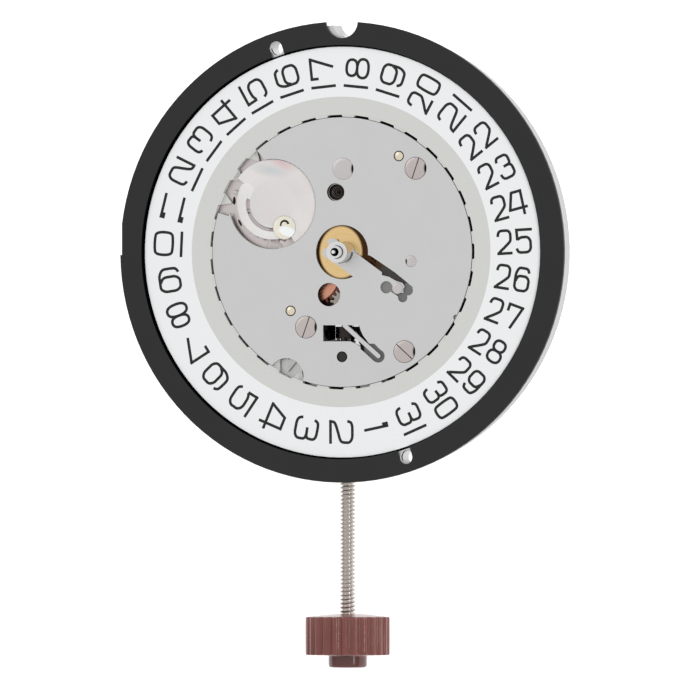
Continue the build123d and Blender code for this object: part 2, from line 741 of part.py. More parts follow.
        # Back side: train, rotor, stator, coil, battery, crystal and contact pockets
        with BuildSketch(Plane.XY.offset(plate_back)):
            Circle(tip_radius(centre_teeth, centre_module) + pocket_gap)
            with Locations(third_place):
                Circle(tip_radius(third_teeth, third_module) + pocket_gap)
            with Locations(intermediate_place):
                Circle(tip_radius(intermediate_pinion_teeth, rotor_module) + train_gap)
            with Locations(rotor_place):
                Circle(magnet_radius + pocket_gap)
            add(arm_face(*[polar(side * (winding_length / 2 + bobbin_end_thickness), coil_angle, coil_place)
                           for side in (1, -1)], bobbin_end_width + pocket_gap))
        extrude(amount=web_bottom - plate_back, mode=Mode.SUBTRACT)
        with BuildSketch(Plane.XY.offset(plate_back)):
            with Locations(rotor_place):
                Circle(stator_ring_radius + pocket_gap)
            for end, elbow in zip(coil_ends_places, stator_elbows):
                add(arm_face(rotor_place, elbow, stator_arm_width + 2 * pocket_gap))
                add(arm_face(elbow, end, stator_arm_width + 2 * pocket_gap))
                with Locations(end):
                    Circle(coil_pad_radius + pocket_gap)
        extrude(amount=stator_top - plate_back, mode=Mode.SUBTRACT)
        with BuildSketch(Plane.XY.offset(plate_back)):
            with Locations(battery_place):
                Circle(battery_radius + battery_gap)
            with Locations((contact_x, contact_reach - contact_slot_length)):
                Rectangle(contact_width + contact_slot_margin, 2 * contact_slot_length)
        extrude(amount=battery_floor - plate_back, mode=Mode.SUBTRACT)
        with BuildSketch(Plane.XY.offset(plate_back)):
            with Locations(crystal_middle):
                Rectangle(crystal_pocket_length, crystal_pocket_width, rotation=crystal_turn)
        extrude(amount=crystal_roof - plate_back, mode=Mode.SUBTRACT)

        # Pillars and threaded holes on the back
        for place in bridge_screw_places:
            with Locations((*place, bridge_top)):
                Cylinder(bridge_pillar_radius, web_bottom - bridge_top, align=on_base)
                Cylinder(bridge_screw_shank_radius, web_bottom - bridge_top, align=on_base,
                         mode=Mode.SUBTRACT)
        for place in cover_places:
            with Locations((*place, cover_top)):
                Cylinder(cover_pillar_radius, plate_back - cover_top, align=on_base)
                Cylinder(cover_screw_shank_radius, cover_screw_length - cover_thickness, align=on_base,
                         mode=Mode.SUBTRACT)
        for place in coil_ends_places:
            with Locations((*place, stator_top)):
                Cylinder(coil_screw_shank_radius, stator_drop, align=on_base, mode=Mode.SUBTRACT)

        # Bores through the web, dial-foot bores, fastener holes and the notch in the rim
        with Locations((0, 0, web_bottom)):
            Cylinder(centre_pipe_radius + 2 * running_gap, web_thickness, align=on_base, mode=Mode.SUBTRACT)
        for place in (third_place, intermediate_place):
            with Locations((*place, web_bottom)):
                Cylinder(arbor_radius + running_gap, pivot_length + floor_gap, align=on_base,
                         mode=Mode.SUBTRACT)
        with Locations((*rotor_place, web_bottom)):
            Cylinder(arbor_radius + pocket_gap, rotor_bearing_bottom - web_bottom, align=on_base,
                     mode=Mode.SUBTRACT)
        with Locations((*rotor_place, rotor_bearing_bottom)):
            Cylinder(rotor_bearing_radius, date_plate_bottom - rotor_bearing_bottom, align=on_base,
                     mode=Mode.SUBTRACT)
        for angle in foot_bore_angles:
            with Locations((*polar(foot_bore_place, angle), plate_back)):
                Cylinder(foot_bore_radius, rim_height, align=on_base, mode=Mode.SUBTRACT)
        fasteners = (
            (plate_screw_shares, plate_screw_shank_radius),
            (locating_pin_shares, locating_pin_radius),
            (small_stud_shares, small_stud_radius),
            (large_stud_shares, large_stud_radius),
        )
        for shares, radius in fasteners:
            for place in plate_places(shares):
                with Locations((*place, fastener_bottom)):
                    Cylinder(radius, fastener_depth, align=on_base, mode=Mode.SUBTRACT)
        with Locations((plate_notch_shift, dial_ring_radius, plate_back)):
            Cylinder(edge_notch_radius, rim_height, align=on_base, mode=Mode.SUBTRACT)
    save(main_plate, "main_plate")


def make_date_plate():
    """The plain cover plate inside the date ring, with its openings, spring slots and tongues."""
    with BuildPart() as date_plate:
        with BuildSketch(Plane.XY.offset(date_plate_bottom)):
            Circle(date_plate_radius)
            Circle(centre_opening_radius, mode=Mode.SUBTRACT)
            with Locations(date_wheel_place):
                Circle(wheel_opening_radius, mode=Mode.SUBTRACT)
            add(sector_face(island_radius, date_plate_radius + overrun, *wheel_opening_sector),
                mode=Mode.SUBTRACT)
            add(shares_face(tongue_shares, layout_size))
            add(shares_face(spring_slot_shares, layout_size), mode=Mode.SUBTRACT)
            for x, y, radius in clover_shares:
                with Locations((x * layout_size, y * layout_size)):
                    Circle(radius * layout_size, mode=Mode.SUBTRACT)
            add(shares_face(clover_neck_shares, layout_size), mode=Mode.SUBTRACT)
            Circle(hour_pipe_radius + 2 * running_gap, mode=Mode.SUBTRACT)
            with Locations((key_window_x, key_window_y)):
                Rectangle(key_window_width, key_window_height, mode=Mode.SUBTRACT)
            add(shares_face(key_slot_shares, layout_size), mode=Mode.SUBTRACT)
            with Locations(tuple(share * layout_size for share in key_tongue_end_share)):
                Circle(key_slot_end_radius, mode=Mode.SUBTRACT)
            key_tongue = arm_face(
                [share * layout_size for share in key_tongue_start_share],
                [share * layout_size for share in key_tongue_end_share],
                key_tongue_width,
            )
            add(key_tongue)
            with Locations(polar(jumper_notch_share * date_plate_radius, jumper_notch_angle)):
                Circle(jumper_notch_radius, mode=Mode.SUBTRACT)
            with Locations(polar(date_plate_radius, small_notch_angle)):
                Circle(small_notch_radius, mode=Mode.SUBTRACT)
            with Locations(polar(copper_hole_share * layout_size, copper_hole_angle)):
                Circle(copper_hole_radius, mode=Mode.SUBTRACT)
            with Locations(rotor_place):
                Circle(rotor_hole_radius, mode=Mode.SUBTRACT)
            with Locations(corrector_place):
                Circle(corrector_arbor_radius + 2 * running_gap, mode=Mode.SUBTRACT)
            holes = (
                (plate_screw_shares, plate_screw_shank_radius),
                (locating_pin_shares, locating_pin_radius),
                (small_stud_shares, small_stud_radius),
                (large_stud_shares, large_stud_radius),
            )
            for shares, radius in holes:
                with Locations(*plate_places(shares)):
                    Circle(radius, mode=Mode.SUBTRACT)
        extrude(amount=date_plate_thickness)
        with BuildSketch(Plane.XY.offset(date_plate_top)):
            with Locations(*plate_places(plate_screw_shares)):
                Circle(plate_screw_head_radius + running_gap)
        extrude(amount=-plate_screw_seat_depth, mode=Mode.SUBTRACT)
    save(date_plate, "date_plate")


def make_date_plate_screws():
    """Three slotted screws that hold the date plate down."""
    head_bottom = date_plate_top - plate_screw_seat_depth
    with BuildPart() as screws:
        for place, slot_angle in zip(plate_places(plate_screw_shares), plate_screw_slot_angles):
            with Locations((*place, fastener_bottom)):
                Cylinder(plate_screw_shank_radius, head_bottom - fastener_bottom, align=on_base)
            with Locations((*place, head_bottom)):
                Cylinder(plate_screw_head_radius, plate_screw_head_thickness, align=on_base)
            head_top = head_bottom + plate_screw_head_thickness
            with Locations(Location((*place, head_top), (0, 0, slot_angle))):
                Box(3 * plate_screw_head_radius, screw_slot_width, 2 * screw_slot_depth, mode=Mode.SUBTRACT)
    save(screws, "date_plate_screws")


def make_pins_and_studs():
    """The locating pins and the flush studs of the date plate."""
    with BuildPart() as pins:
        for place in plate_places(locating_pin_shares):
            with Locations((*place, fastener_bottom)):
                top = date_plate_top + locating_pin_height
                Cylinder(locating_pin_radius, top - fastener_bottom, align=on_base)
    save(pins, "locating_pins")
    with BuildPart() as studs:
        groups = ((small_stud_shares, small_stud_radius), (large_stud_shares, large_stud_radius))
        for shares, radius in groups:
            for place in plate_places(shares):
                with Locations((*place, fastener_bottom)):
                    top = date_plate_top + stud_height
                    Cylinder(radius, top - fastener_bottom, align=on_base)
    save(studs, "plate_studs")


def make_date_jumper():
    """The spring whose tip drops between two teeth of the date ring."""
    root = polar(jumper_radius, jumper_root_angle)
    with BuildPart() as jumper:
        with BuildSketch(Plane.XY.offset(jumper_bottom)):
            with Locations(root):
                Circle(jumper_root_radius)
            add(sector_face(jumper_radius - jumper_width / 2, jumper_radius + jumper_width / 2,
                            jumper_root_angle, jumper_tip_angle))
            tip_side = degrees(jumper_tip_width / 2 / jumper_radius)
            with BuildLine():
                Polyline(
                    polar(jumper_radius - jumper_width / 2, jumper_tip_angle - tip_side),
                    polar(jumper_radius + jumper_width / 2, jumper_tip_angle - tip_side),
                    polar(jumper_reach, jumper_tip_angle),
                    polar(jumper_radius + jumper_width / 2, jumper_tip_angle + tip_side),
                    polar(jumper_radius - jumper_width / 2, jumper_tip_angle + tip_side),
                    close=True,
                )
            make_face()
        extrude(amount=jumper_thickness)
    save(jumper, "date_jumper")


def date_teeth_face():
    """The face inside the date ring, whose edge runs along the ring's inward teeth."""
    half_tooth = date_tooth_width / 2
    points = []
    for index in range(date_count):
        middle = date_tooth_start + index * 360 / date_count
        points.append(polar(date_ring_inner_radius, middle - half_tooth))
        points.append(polar(date_tooth_tip_radius, middle))
        points.append(polar(date_ring_inner_radius, middle + half_tooth))
    with BuildSketch() as face:
        with BuildLine():
            Polyline(*points, close=True)
        make_face()
    return face.sketch


def make_date_ring():
    """The date ring: a flat ring that carries the numbers, with inward teeth below it."""
    with BuildPart() as date_ring:
        with BuildSketch(Plane.XY.offset(date_ring_bottom)):
            Circle(date_ring_outer_radius)
            Circle(date_ring_inner_radius, mode=Mode.SUBTRACT)
        extrude(amount=date_ring_thickness)
        with BuildSketch(Plane.XY.offset(date_tooth_bottom)):
            Circle(date_tooth_rim_radius)
            add(date_teeth_face(), mode=Mode.SUBTRACT)
        extrude(amount=date_tooth_thickness)
        with BuildSketch(Plane.XY.offset(date_tooth_bottom)):
            Circle(date_ring_inner_radius + tooth_root_gap)
            Circle(date_plate_radius + tooth_root_gap, mode=Mode.SUBTRACT)
            add(date_teeth_face(), mode=Mode.SUBTRACT)
        extrude(amount=date_ring_top - tooth_root_recess - date_tooth_bottom)
    save(date_ring, "date_ring")


def make_motion_work():
    """Cannon pinion, minute wheel, hour wheel, setting wheel and date idler."""
    with BuildPart() as cannon_pinion:
        with BuildSketch(Plane.XY.offset(minute_wheel_bottom)):
            add(gear_face(cannon_teeth, minute_module))
        extrude(amount=minute_wheel_thickness)
        with Locations((0, 0, minute_pipe_top - minute_seat_length)):
            Cylinder(minute_pipe_radius, minute_seat_length, align=on_base)
        with Locations((0, 0, minute_wheel_bottom)):
            pipe_length = minute_pipe_top - minute_wheel_bottom
            relief_radius = minute_pipe_radius - seat_relief
            Cone(relief_radius + pipe_taper, relief_radius, pipe_length - minute_seat_length, align=on_base)
            Cylinder(minute_pipe_bore, pipe_length, align=on_base, mode=Mode.SUBTRACT)
    save(cannon_pinion, "cannon_pinion")

    with BuildPart() as minute_wheel:
        with BuildSketch(Plane.XY.offset(minute_wheel_bottom)):
            with Locations(minute_place):
                add(gear_face(minute_teeth, minute_module, minute_turn))
        extrude(amount=minute_wheel_thickness)
        with BuildSketch(Plane.XY.offset(minute_wheel_top)):
            with Locations(minute_place):
                add(gear_face(minute_pinion_teeth, hour_module))
        extrude(amount=hour_wheel_top - minute_wheel_top)
        with Locations((*minute_place, minute_wheel_bottom)):
            Cylinder(post_radius + running_gap, hour_wheel_top - minute_wheel_bottom, align=on_base,
                     mode=Mode.SUBTRACT)
    save(minute_wheel, "minute_wheel")

    with BuildPart() as hour_wheel:
        with BuildSketch(Plane.XY.offset(hour_wheel_bottom)):
            add(gear_face(hour_teeth, hour_module, hour_turn))
        extrude(amount=hour_wheel_thickness)
        Cylinder(hour_pipe_radius, hour_pipe_top, align=on_base)
        with Locations((0, 0, hour_wheel_bottom)):
            relief_radius = hour_pipe_radius - seat_relief
            Cone(relief_radius + pipe_taper, relief_radius, -hour_wheel_bottom, align=on_base)
            Cylinder(hour_pipe_bore, hour_pipe_top - hour_wheel_bottom, align=on_base, mode=Mode.SUBTRACT)
    save(hour_wheel, "hour_wheel")

    with BuildPart() as setting_wheel:
        with BuildSketch(Plane.XY.offset(minute_wheel_bottom)):
            with Locations(setting_place):
                add(gear_face(setting_teeth, minute_module, setting_turn))
                Circle(lever_post_radius + running_gap, mode=Mode.SUBTRACT)
        extrude(amount=minute_wheel_thickness)
    save(setting_wheel, "setting_wheel")

    with BuildPart() as date_idler:
        with BuildSketch(Plane.XY.offset(idler_bottom)):
            with Locations(idler_place):
                add(gear_face(idler_teeth, hour_module, idler_turn))
        extrude(amount=idler_thickness)
        with BuildSketch(Plane.XY.offset(idler_top)):
            with Locations(idler_place):
                add(gear_face(idler_pinion_teeth, date_module))
        extrude(amount=hour_wheel_top - idler_top)
        with Locations((*idler_place, idler_bottom)):
            Cylinder(post_radius + running_gap, hour_wheel_top - idler_bottom, align=on_base,
                     mode=Mode.SUBTRACT)
    save(date_idler, "date_idler")


def make_date_wheel():
    """The date wheel with its disc, the spring finger that moves the ring, and the round post on it."""
    post_place = polar(date_post_place, date_post_angle, date_wheel_place)
    with BuildPart() as date_wheel:
        with BuildSketch(Plane.XY.offset(gear_bottom)):
            with Locations(date_wheel_place):
                add(gear_face(date_wheel_teeth, date_module, date_gear_turn))
        extrude(amount=date_gear_thickness)
        with BuildSketch(Plane.XY.offset(gear_top)):
            with Locations(date_wheel_place):
                Circle(date_disc_radius)
                add(sector_face(date_disc_inner_radius, date_disc_radius + overrun,
                                finger_head_start - 360 / date_wheel_teeth, finger_end), mode=Mode.SUBTRACT)
        extrude(amount=date_disc_thickness)
        with Locations((*date_wheel_place, gear_bottom)):
            bore_height = date_plate_bottom - gear_bottom + floor_gap
            Cylinder(post_radius + running_gap, bore_height, align=on_base, mode=Mode.SUBTRACT)
    save(date_wheel, "date_wheel")

    with BuildPart() as date_finger:
        with BuildSketch(Plane.XY.offset(gear_top)):
            with Locations(date_wheel_place):
                add(sector_face(finger_inner_radius, finger_outer_radius, finger_start, finger_end))
                add(sector_face(finger_head_inner_radius, finger_outer_radius, finger_head_start, finger_start))
                add(sector_face(finger_inner_radius, date_disc_radius, finger_start,
                                finger_start + degrees(finger_tip_width / finger_outer_radius)))
        extrude(amount=date_disc_thickness - finger_gap / 2)
        with BuildSketch(Plane.XY.offset(gear_bottom)):
            with Locations(date_wheel_place):
                tip_start = tip_radius(date_wheel_teeth, date_module) + running_gap
                add(sector_face(tip_start, finger_reach, finger_start,
                                finger_start + degrees(finger_tip_width / finger_reach)))
        extrude(amount=date_gear_thickness + date_disc_thickness / 4)
    save(date_finger, "date_finger")

    with BuildPart() as date_wheel_post:
        with Locations((*post_place, date_disc_top)):
            Cylinder(date_post_radius, date_post_height, align=on_base)
    save(date_wheel_post, "date_wheel_post")


def make_train():
    """Rotor, intermediate, seconds, third and centre wheels with their arbors."""
    arbor_top = web_bottom + pivot_length
    with BuildPart() as rotor_magnet:
        with Locations((*rotor_place, magnet_bottom)):
            Cylinder(magnet_radius, magnet_height, align=on_base)
            Cylinder(arbor_radius, magnet_height, align=on_base, mode=Mode.SUBTRACT)
    save(rotor_magnet, "rotor_magnet")

    with BuildPart() as rotor_pinion:
        with Locations((*rotor_place, bridge_bottom)):
            Cylinder(arbor_radius, rotor_bearing_top - bridge_bottom, align=on_base)
        with BuildSketch(Plane.XY.offset(intermediate_bottom)):
            with Locations(rotor_place):
                add(gear_face(rotor_pinion_teeth, rotor_module))
        extrude(amount=magnet_bottom - intermediate_bottom)
    save(rotor_pinion, "rotor_pinion")

    with BuildPart() as intermediate_wheel:
        with Locations((*intermediate_place, bridge_bottom)):
            Cylinder(arbor_radius, arbor_top - bridge_bottom, align=on_base)
        with BuildSketch(Plane.XY.offset(intermediate_bottom)):
            with Locations(intermediate_place):
                add(gear_face(intermediate_teeth, rotor_module, intermediate_turn))
        extrude(amount=train_wheel_thickness)
        with BuildSketch(Plane.XY.offset(intermediate_top)):
            with Locations(intermediate_place):
                add(gear_face(intermediate_pinion_teeth, rotor_module, intermediate_pinion_turn))
        extrude(amount=seconds_wheel_top - intermediate_top)
    save(intermediate_wheel, "intermediate_wheel")

    with BuildPart() as seconds_wheel:
        relief_radius = seconds_arbor_radius - seat_relief
        seat_start = seconds_arbor_top - seconds_seat_length
        with Locations((0, 0, bridge_bottom)):
            Cylinder(relief_radius, seconds_wheel_bottom - bridge_bottom, align=on_base)
        with Locations((0, 0, seconds_wheel_bottom)):
            Cone(relief_radius + pipe_taper, relief_radius, seat_start - seconds_wheel_bottom, align=on_base)
        with Locations((0, 0, seat_start)):
            Cylinder(seconds_arbor_radius, seconds_seat_length, align=on_base)
        with BuildSketch(Plane.XY.offset(seconds_wheel_bottom)):
            add(gear_face(seconds_teeth, rotor_module))
        extrude(amount=train_wheel_thickness)
        with BuildSketch(Plane.XY.offset(seconds_wheel_top)):
            add(gear_face(seconds_pinion_teeth, third_module))
        extrude(amount=third_wheel_top - seconds_wheel_top)
    save(seconds_wheel, "seconds_wheel")

    with BuildPart() as third_wheel:
        with Locations((*third_place, bridge_bottom)):
            Cylinder(arbor_radius, arbor_top - bridge_bottom, align=on_base)
        with BuildSketch(Plane.XY.offset(third_wheel_bottom)):
            with Locations(third_place):
                add(gear_face(third_teeth, third_module, third_turn))
        extrude(amount=train_wheel_thickness)
        with BuildSketch(Plane.XY.offset(third_wheel_top)):
            with Locations(third_place):
                add(gear_face(third_pinion_teeth, centre_module))
        extrude(amount=centre_wheel_top - third_wheel_top)
    save(third_wheel, "third_wheel")

    with BuildPart() as center_wheel:
        with BuildSketch(Plane.XY.offset(centre_wheel_bottom)):
            add(gear_face(centre_teeth, centre_module, centre_turn))
        extrude(amount=train_wheel_thickness)
        with Locations((0, 0, centre_wheel_bottom)):
            pipe_length = centre_pipe_top - centre_wheel_bottom
            Cone(centre_pipe_radius, centre_pipe_radius - pipe_taper, pipe_length, align=on_base)
            Cylinder(centre_pipe_bore, pipe_length, align=on_base, mode=Mode.SUBTRACT)
    save(center_wheel, "center_wheel")


def make_bridge():
    """The train bridge with its jewels and screws, and the bearing of the rotor in the main plate."""
    bores = (
        (centre, seconds_arbor_radius - seat_relief),
        (third_place, arbor_radius),
        (intermediate_place, arbor_radius),
        (rotor_place, arbor_radius),
    )
    with BuildPart() as train_bridge:
        with BuildSketch(Plane.XY.offset(bridge_bottom)):
            corners = [(place, bridge_pillar_radius) for place in bridge_screw_places]
            corners += [(place, bridge_edge_radius) for place, _ in bores]
            add(hull_face(*corners))
            for place, _ in bores:
                with Locations(place):
                    Circle(jewel_radius, mode=Mode.SUBTRACT)
            with Locations(*bridge_screw_places):
                Circle(bridge_screw_shank_radius, mode=Mode.SUBTRACT)
        extrude(amount=bridge_thickness)
    save(train_bridge, "train_bridge")

    with BuildPart() as jewels:
        for place, radius in bores:
            with Locations((*place, bridge_bottom)):
                Cylinder(jewel_radius, bridge_thickness, align=on_base)
                Cylinder(radius + running_gap, bridge_thickness, align=on_base, mode=Mode.SUBTRACT)
    save(jewels, "jewels")

    with BuildPart() as rotor_bearing:
        with Locations((*rotor_place, rotor_bearing_bottom)):
            Cylinder(rotor_bearing_radius, rotor_bearing_height, align=on_base)
            Cylinder(arbor_radius + running_gap, rotor_bearing_height, align=on_base, mode=Mode.SUBTRACT)
    save(rotor_bearing, "rotor_bearing")

    with BuildPart() as bridge_screws:
        for place in bridge_screw_places:
            with Locations((*place, bridge_bottom)):
                Cylinder(bridge_screw_shank_radius, web_bottom - bridge_bottom, align=on_base)
            with Locations((*place, bridge_bottom - bridge_screw_head_thickness)):
                Cylinder(bridge_screw_head_radius, bridge_screw_head_thickness, align=on_base)
                Box(3 * bridge_screw_head_radius, screw_slot_width, 2 * screw_slot_depth, mode=Mode.SUBTRACT)
    save(bridge_screws, "bridge_screws")


def make_motor():
    """Stator, coil core, winding, bobbin ends and the two screws of the coil."""
    with BuildPart() as stator:
        with BuildSketch(Plane.XY.offset(stator_bottom)):
            with Locations(rotor_place):
                Circle(stator_ring_radius)
            for end, elbow in zip(coil_ends_places, stator_elbows):
                add(arm_face(rotor_place, elbow, stator_arm_width))
                add(arm_face(elbow, end, stator_arm_width))
                with Locations(end):
                    Circle(coil_pad_radius)
            with Locations(rotor_place):
                Circle(stator_hole_radius, mode=Mode.SUBTRACT)
            for side in (1, -1):
                with Locations(polar(side * stator_hole_radius, coil_angle + stator_notch_turn, rotor_place)):
                    Circle(stator_notch, mode=Mode.SUBTRACT)
            with Locations(*coil_ends_places):
                Circle(coil_screw_shank_radius, mode=Mode.SUBTRACT)
        extrude(amount=stator_thickness)
    save(stator, "stator")

    with BuildPart() as coil_core:
        with BuildSketch(Plane.XY.offset(core_bottom)):
            add(arm_face(*coil_ends_places, core_width))
            with Locations(*coil_ends_places):
                Circle(coil_pad_radius)
                Circle(coil_screw_shank_radius, mode=Mode.SUBTRACT)
        extrude(amount=core_thickness)
    save(coil_core, "coil_core")

    across = Plane(origin=(*coil_place, coil_level), x_dir=polar(-1, coil_angle - 90) + (0,),
                   z_dir=polar(1, coil_angle) + (0,))
    with BuildPart() as coil_winding:
        with BuildSketch(across):
            Circle(winding_radius)
            Rectangle(core_width, core_thickness, mode=Mode.SUBTRACT)
        extrude(amount=winding_length / 2, both=True)
    save(coil_winding, "coil_winding")

    with BuildPart() as coil_ends:
        for side in (1, -1):
            with BuildSketch(across.offset(side * winding_length / 2)):
                RectangleRounded(bobbin_end_width, bobbin_end_height, bobbin_end_height / 4)
                Rectangle(core_width, core_thickness, mode=Mode.SUBTRACT)
            extrude(amount=side * bobbin_end_thickness)
    save(coil_ends, "coil_ends")

    with BuildPart() as coil_screws:
        for place in coil_ends_places:
            with Locations((*place, core_bottom)):
                Cylinder(coil_screw_shank_radius, web_bottom - core_bottom, align=on_base)
            with Locations((*place, core_bottom - coil_screw_head_thickness)):
                Cylinder(coil_screw_head_radius, coil_screw_head_thickness, align=on_base)
                Box(3 * coil_screw_head_radius, screw_slot_width, 2 * screw_slot_depth, mode=Mode.SUBTRACT)
    save(coil_screws, "coil_screws")


def make_circuit():
    """Circuit board, chip, crystal, cover plate and its screws."""
    with BuildPart() as circuit_board:
        with BuildSketch(Plane.XY.offset(board_bottom)):
            add(sector_face(board_inner_radius, board_outer_radius, *board_sector))
            with Locations(crystal_middle):
                Rectangle(crystal_pocket_length, crystal_pocket_width, rotation=crystal_turn,
                          mode=Mode.SUBTRACT)
            with Locations(*cover_places):
                Circle(cover_pillar_radius + pocket_gap, mode=Mode.SUBTRACT)
        extrude(amount=board_thickness)
    save(circuit_board, "circuit_board")

    with BuildPart() as ic_chip:
        with BuildSketch(Plane.XY.offset(board_bottom - chip_height)):
            with Locations(chip_middle):
                RectangleRounded(chip_size, chip_size, chip_size / 6, rotation=chip_angle)
        extrude(amount=chip_height)
    save(ic_chip, "ic_chip")

    along = Plane(origin=(*crystal_middle, crystal_level), x_dir=(0, 0, 1),
                  z_dir=polar(1, crystal_turn) + (0,))
    with BuildPart() as quartz_crystal:
        with BuildSketch(along.offset(-crystal_length / 2)):
            Circle(crystal_radius)
        extrude(amount=crystal_length)
        with BuildSketch(along.offset(crystal_length / 2)):
            with Locations((0, -crystal_lead_pitch / 2), (0, crystal_lead_pitch / 2)):
                Circle(crystal_lead_radius)
        extrude(amount=crystal_lead_length)
    save(quartz_crystal, "quartz_crystal")

    with BuildPart() as circuit_cover:
        with BuildSketch(Plane.XY.offset(cover_bottom)):
            add(sector_face(cover_inner_radius, cover_outer_radius, *cover_sector))
            with Locations(crystal_middle):
                Rectangle(crystal_length + cover_window_margin, 2 * (crystal_radius + cover_window_margin),
                          rotation=crystal_turn, mode=Mode.SUBTRACT)
            with Locations(chip_middle):
                Rectangle(chip_size + 2 * cover_window_margin, chip_size + 2 * cover_window_margin,
                          rotation=chip_angle, mode=Mode.SUBTRACT)
            with Locations(*cover_places):
                Circle(cover_screw_shank_radius, mode=Mode.SUBTRACT)
        extrude(amount=cover_thickness)
    save(circuit_cover, "circuit_cover")

    with BuildPart() as cover_screws:
        for place in cover_places:
            with Locations((*place, cover_bottom)):
                Cylinder(cover_screw_shank_radius, cover_screw_length, align=on_base)
            with Locations((*place, cover_bottom - cover_screw_head_thickness)):
                Cylinder(cover_screw_head_radius, cover_screw_head_thickness, align=on_base)
                Box(3 * cover_screw_head_radius, screw_slot_width, 2 * screw_slot_depth, mode=Mode.SUBTRACT)
    save(cover_screws, "cover_screws")


def make_battery():
    """The button cell, the thin insulating ring over it and the contact strip."""
    with BuildPart() as battery:
        with Locations((*battery_place, battery_bottom)):
            Cylinder(battery_radius, battery_height - battery_step, align=on_base)
        with Locations((*battery_place, battery_top - battery_step)):
            Cylinder(battery_cap_radius, battery_step, align=on_base)
    save(battery, "battery")

    with BuildPart() as battery_insulator:
        with BuildSketch(Plane.XY.offset(battery_top)):
            with Locations(battery_place):
                Circle(battery_radius)
                Circle(insulator_inner_radius, mode=Mode.SUBTRACT)
            with Locations((contact_x, contact_reach - contact_slot_length)):
                Rectangle(contact_width + contact_slot_margin, 2 * contact_slot_length, mode=Mode.SUBTRACT)
        extrude(amount=insulator_thickness)
    save(battery_insulator, "battery_insulator")

    riser_y = battery_place[1] - battery_radius - battery_gap - contact_thickness - 2 * running_gap
    with BuildPart() as battery_contact:
        with BuildSketch(Plane.XY.offset(battery_top)):
            with Locations((contact_x, (contact_reach + riser_y) / 2)):
                Rectangle(contact_width, contact_reach - riser_y)
        extrude(amount=insulator_thickness)
        with BuildSketch(Plane.XY.offset(board_bottom - contact_thickness)):
            with Locations((contact_x, riser_y + contact_thickness / 2)):
                Rectangle(contact_width, contact_thickness)
        extrude(amount=battery_floor - board_bottom + contact_thickness)
        foot_start = riser_y + contact_thickness
        foot_end = contact_x * tan(radians(board_sector[1])) - contact_foot
        with BuildSketch(Plane.XY.offset(board_bottom - contact_thickness)):
            with Locations((contact_x, (foot_start + foot_end) / 2)):
                Rectangle(contact_width, foot_start - foot_end)
        extrude(amount=contact_thickness)
    save(battery_contact, "battery_contact")


def make_stem_and_crown():
    """The stem with its square, groove and thread, and the fluted crown on its end."""
    turned = (
        (pilot_start, square_start, pilot_radius),
        (square_end, groove_start, collar_radius),
        (groove_start, groove_end, groove_radius),
        (groove_end, bearing_start, collar_radius),
        (bearing_start, bearing_end, bearing_radius),
        (bearing_end, thread_end, thread_radius),
    )
    with BuildPart() as stem:
        for start, end, radius in turned:
            with BuildSketch(Plane.XZ.offset(start)):
                with Locations((0, stem_level)):
                    Circle(radius)
            extrude(amount=end - start)
        with BuildSketch(Plane.XZ.offset(square_start)):
            with Locations((0, stem_level)):
                Rectangle(square_width, square_width)
        extrude(amount=square_end - square_start)
    save(stem, "stem")

    with BuildPart() as crown:
        with BuildSketch(Plane.XZ.offset(crown_start)):
            with Locations((0, stem_level)):
                Circle(crown_radius)
        extrude(amount=crown_end - crown_start)
        chamfer(crown.edges().filter_by(GeomType.CIRCLE), crown_chamfer)
        with BuildSketch(Plane.XZ.offset(crown_start)):
            with Locations((0, stem_level)):
                with PolarLocations(crown_radius + flute_radius / 4, crown_flutes):
                    Circle(flute_radius)
        extrude(amount=crown_end - crown_start, mode=Mode.SUBTRACT)
        with BuildSketch(Plane.XZ.offset(crown_start - crown_collar_height)):
            with Locations((0, stem_level)):
                Circle(crown_collar_radius)
        extrude(amount=crown_collar_height)
        with BuildSketch(Plane.XZ.offset(crown_end)):
            with Locations((0, stem_level)):
                Circle(crown_boss_radius)
        extrude(amount=crown_boss_end - crown_end)
        with BuildSketch(Plane.XZ.offset(crown_start - crown_collar_height)):
            with Locations((0, stem_level)):
                Circle(thread_radius)
        extrude(amount=thread_end - crown_start + crown_collar_height, mode=Mode.SUBTRACT)
    save(crown, "crown")


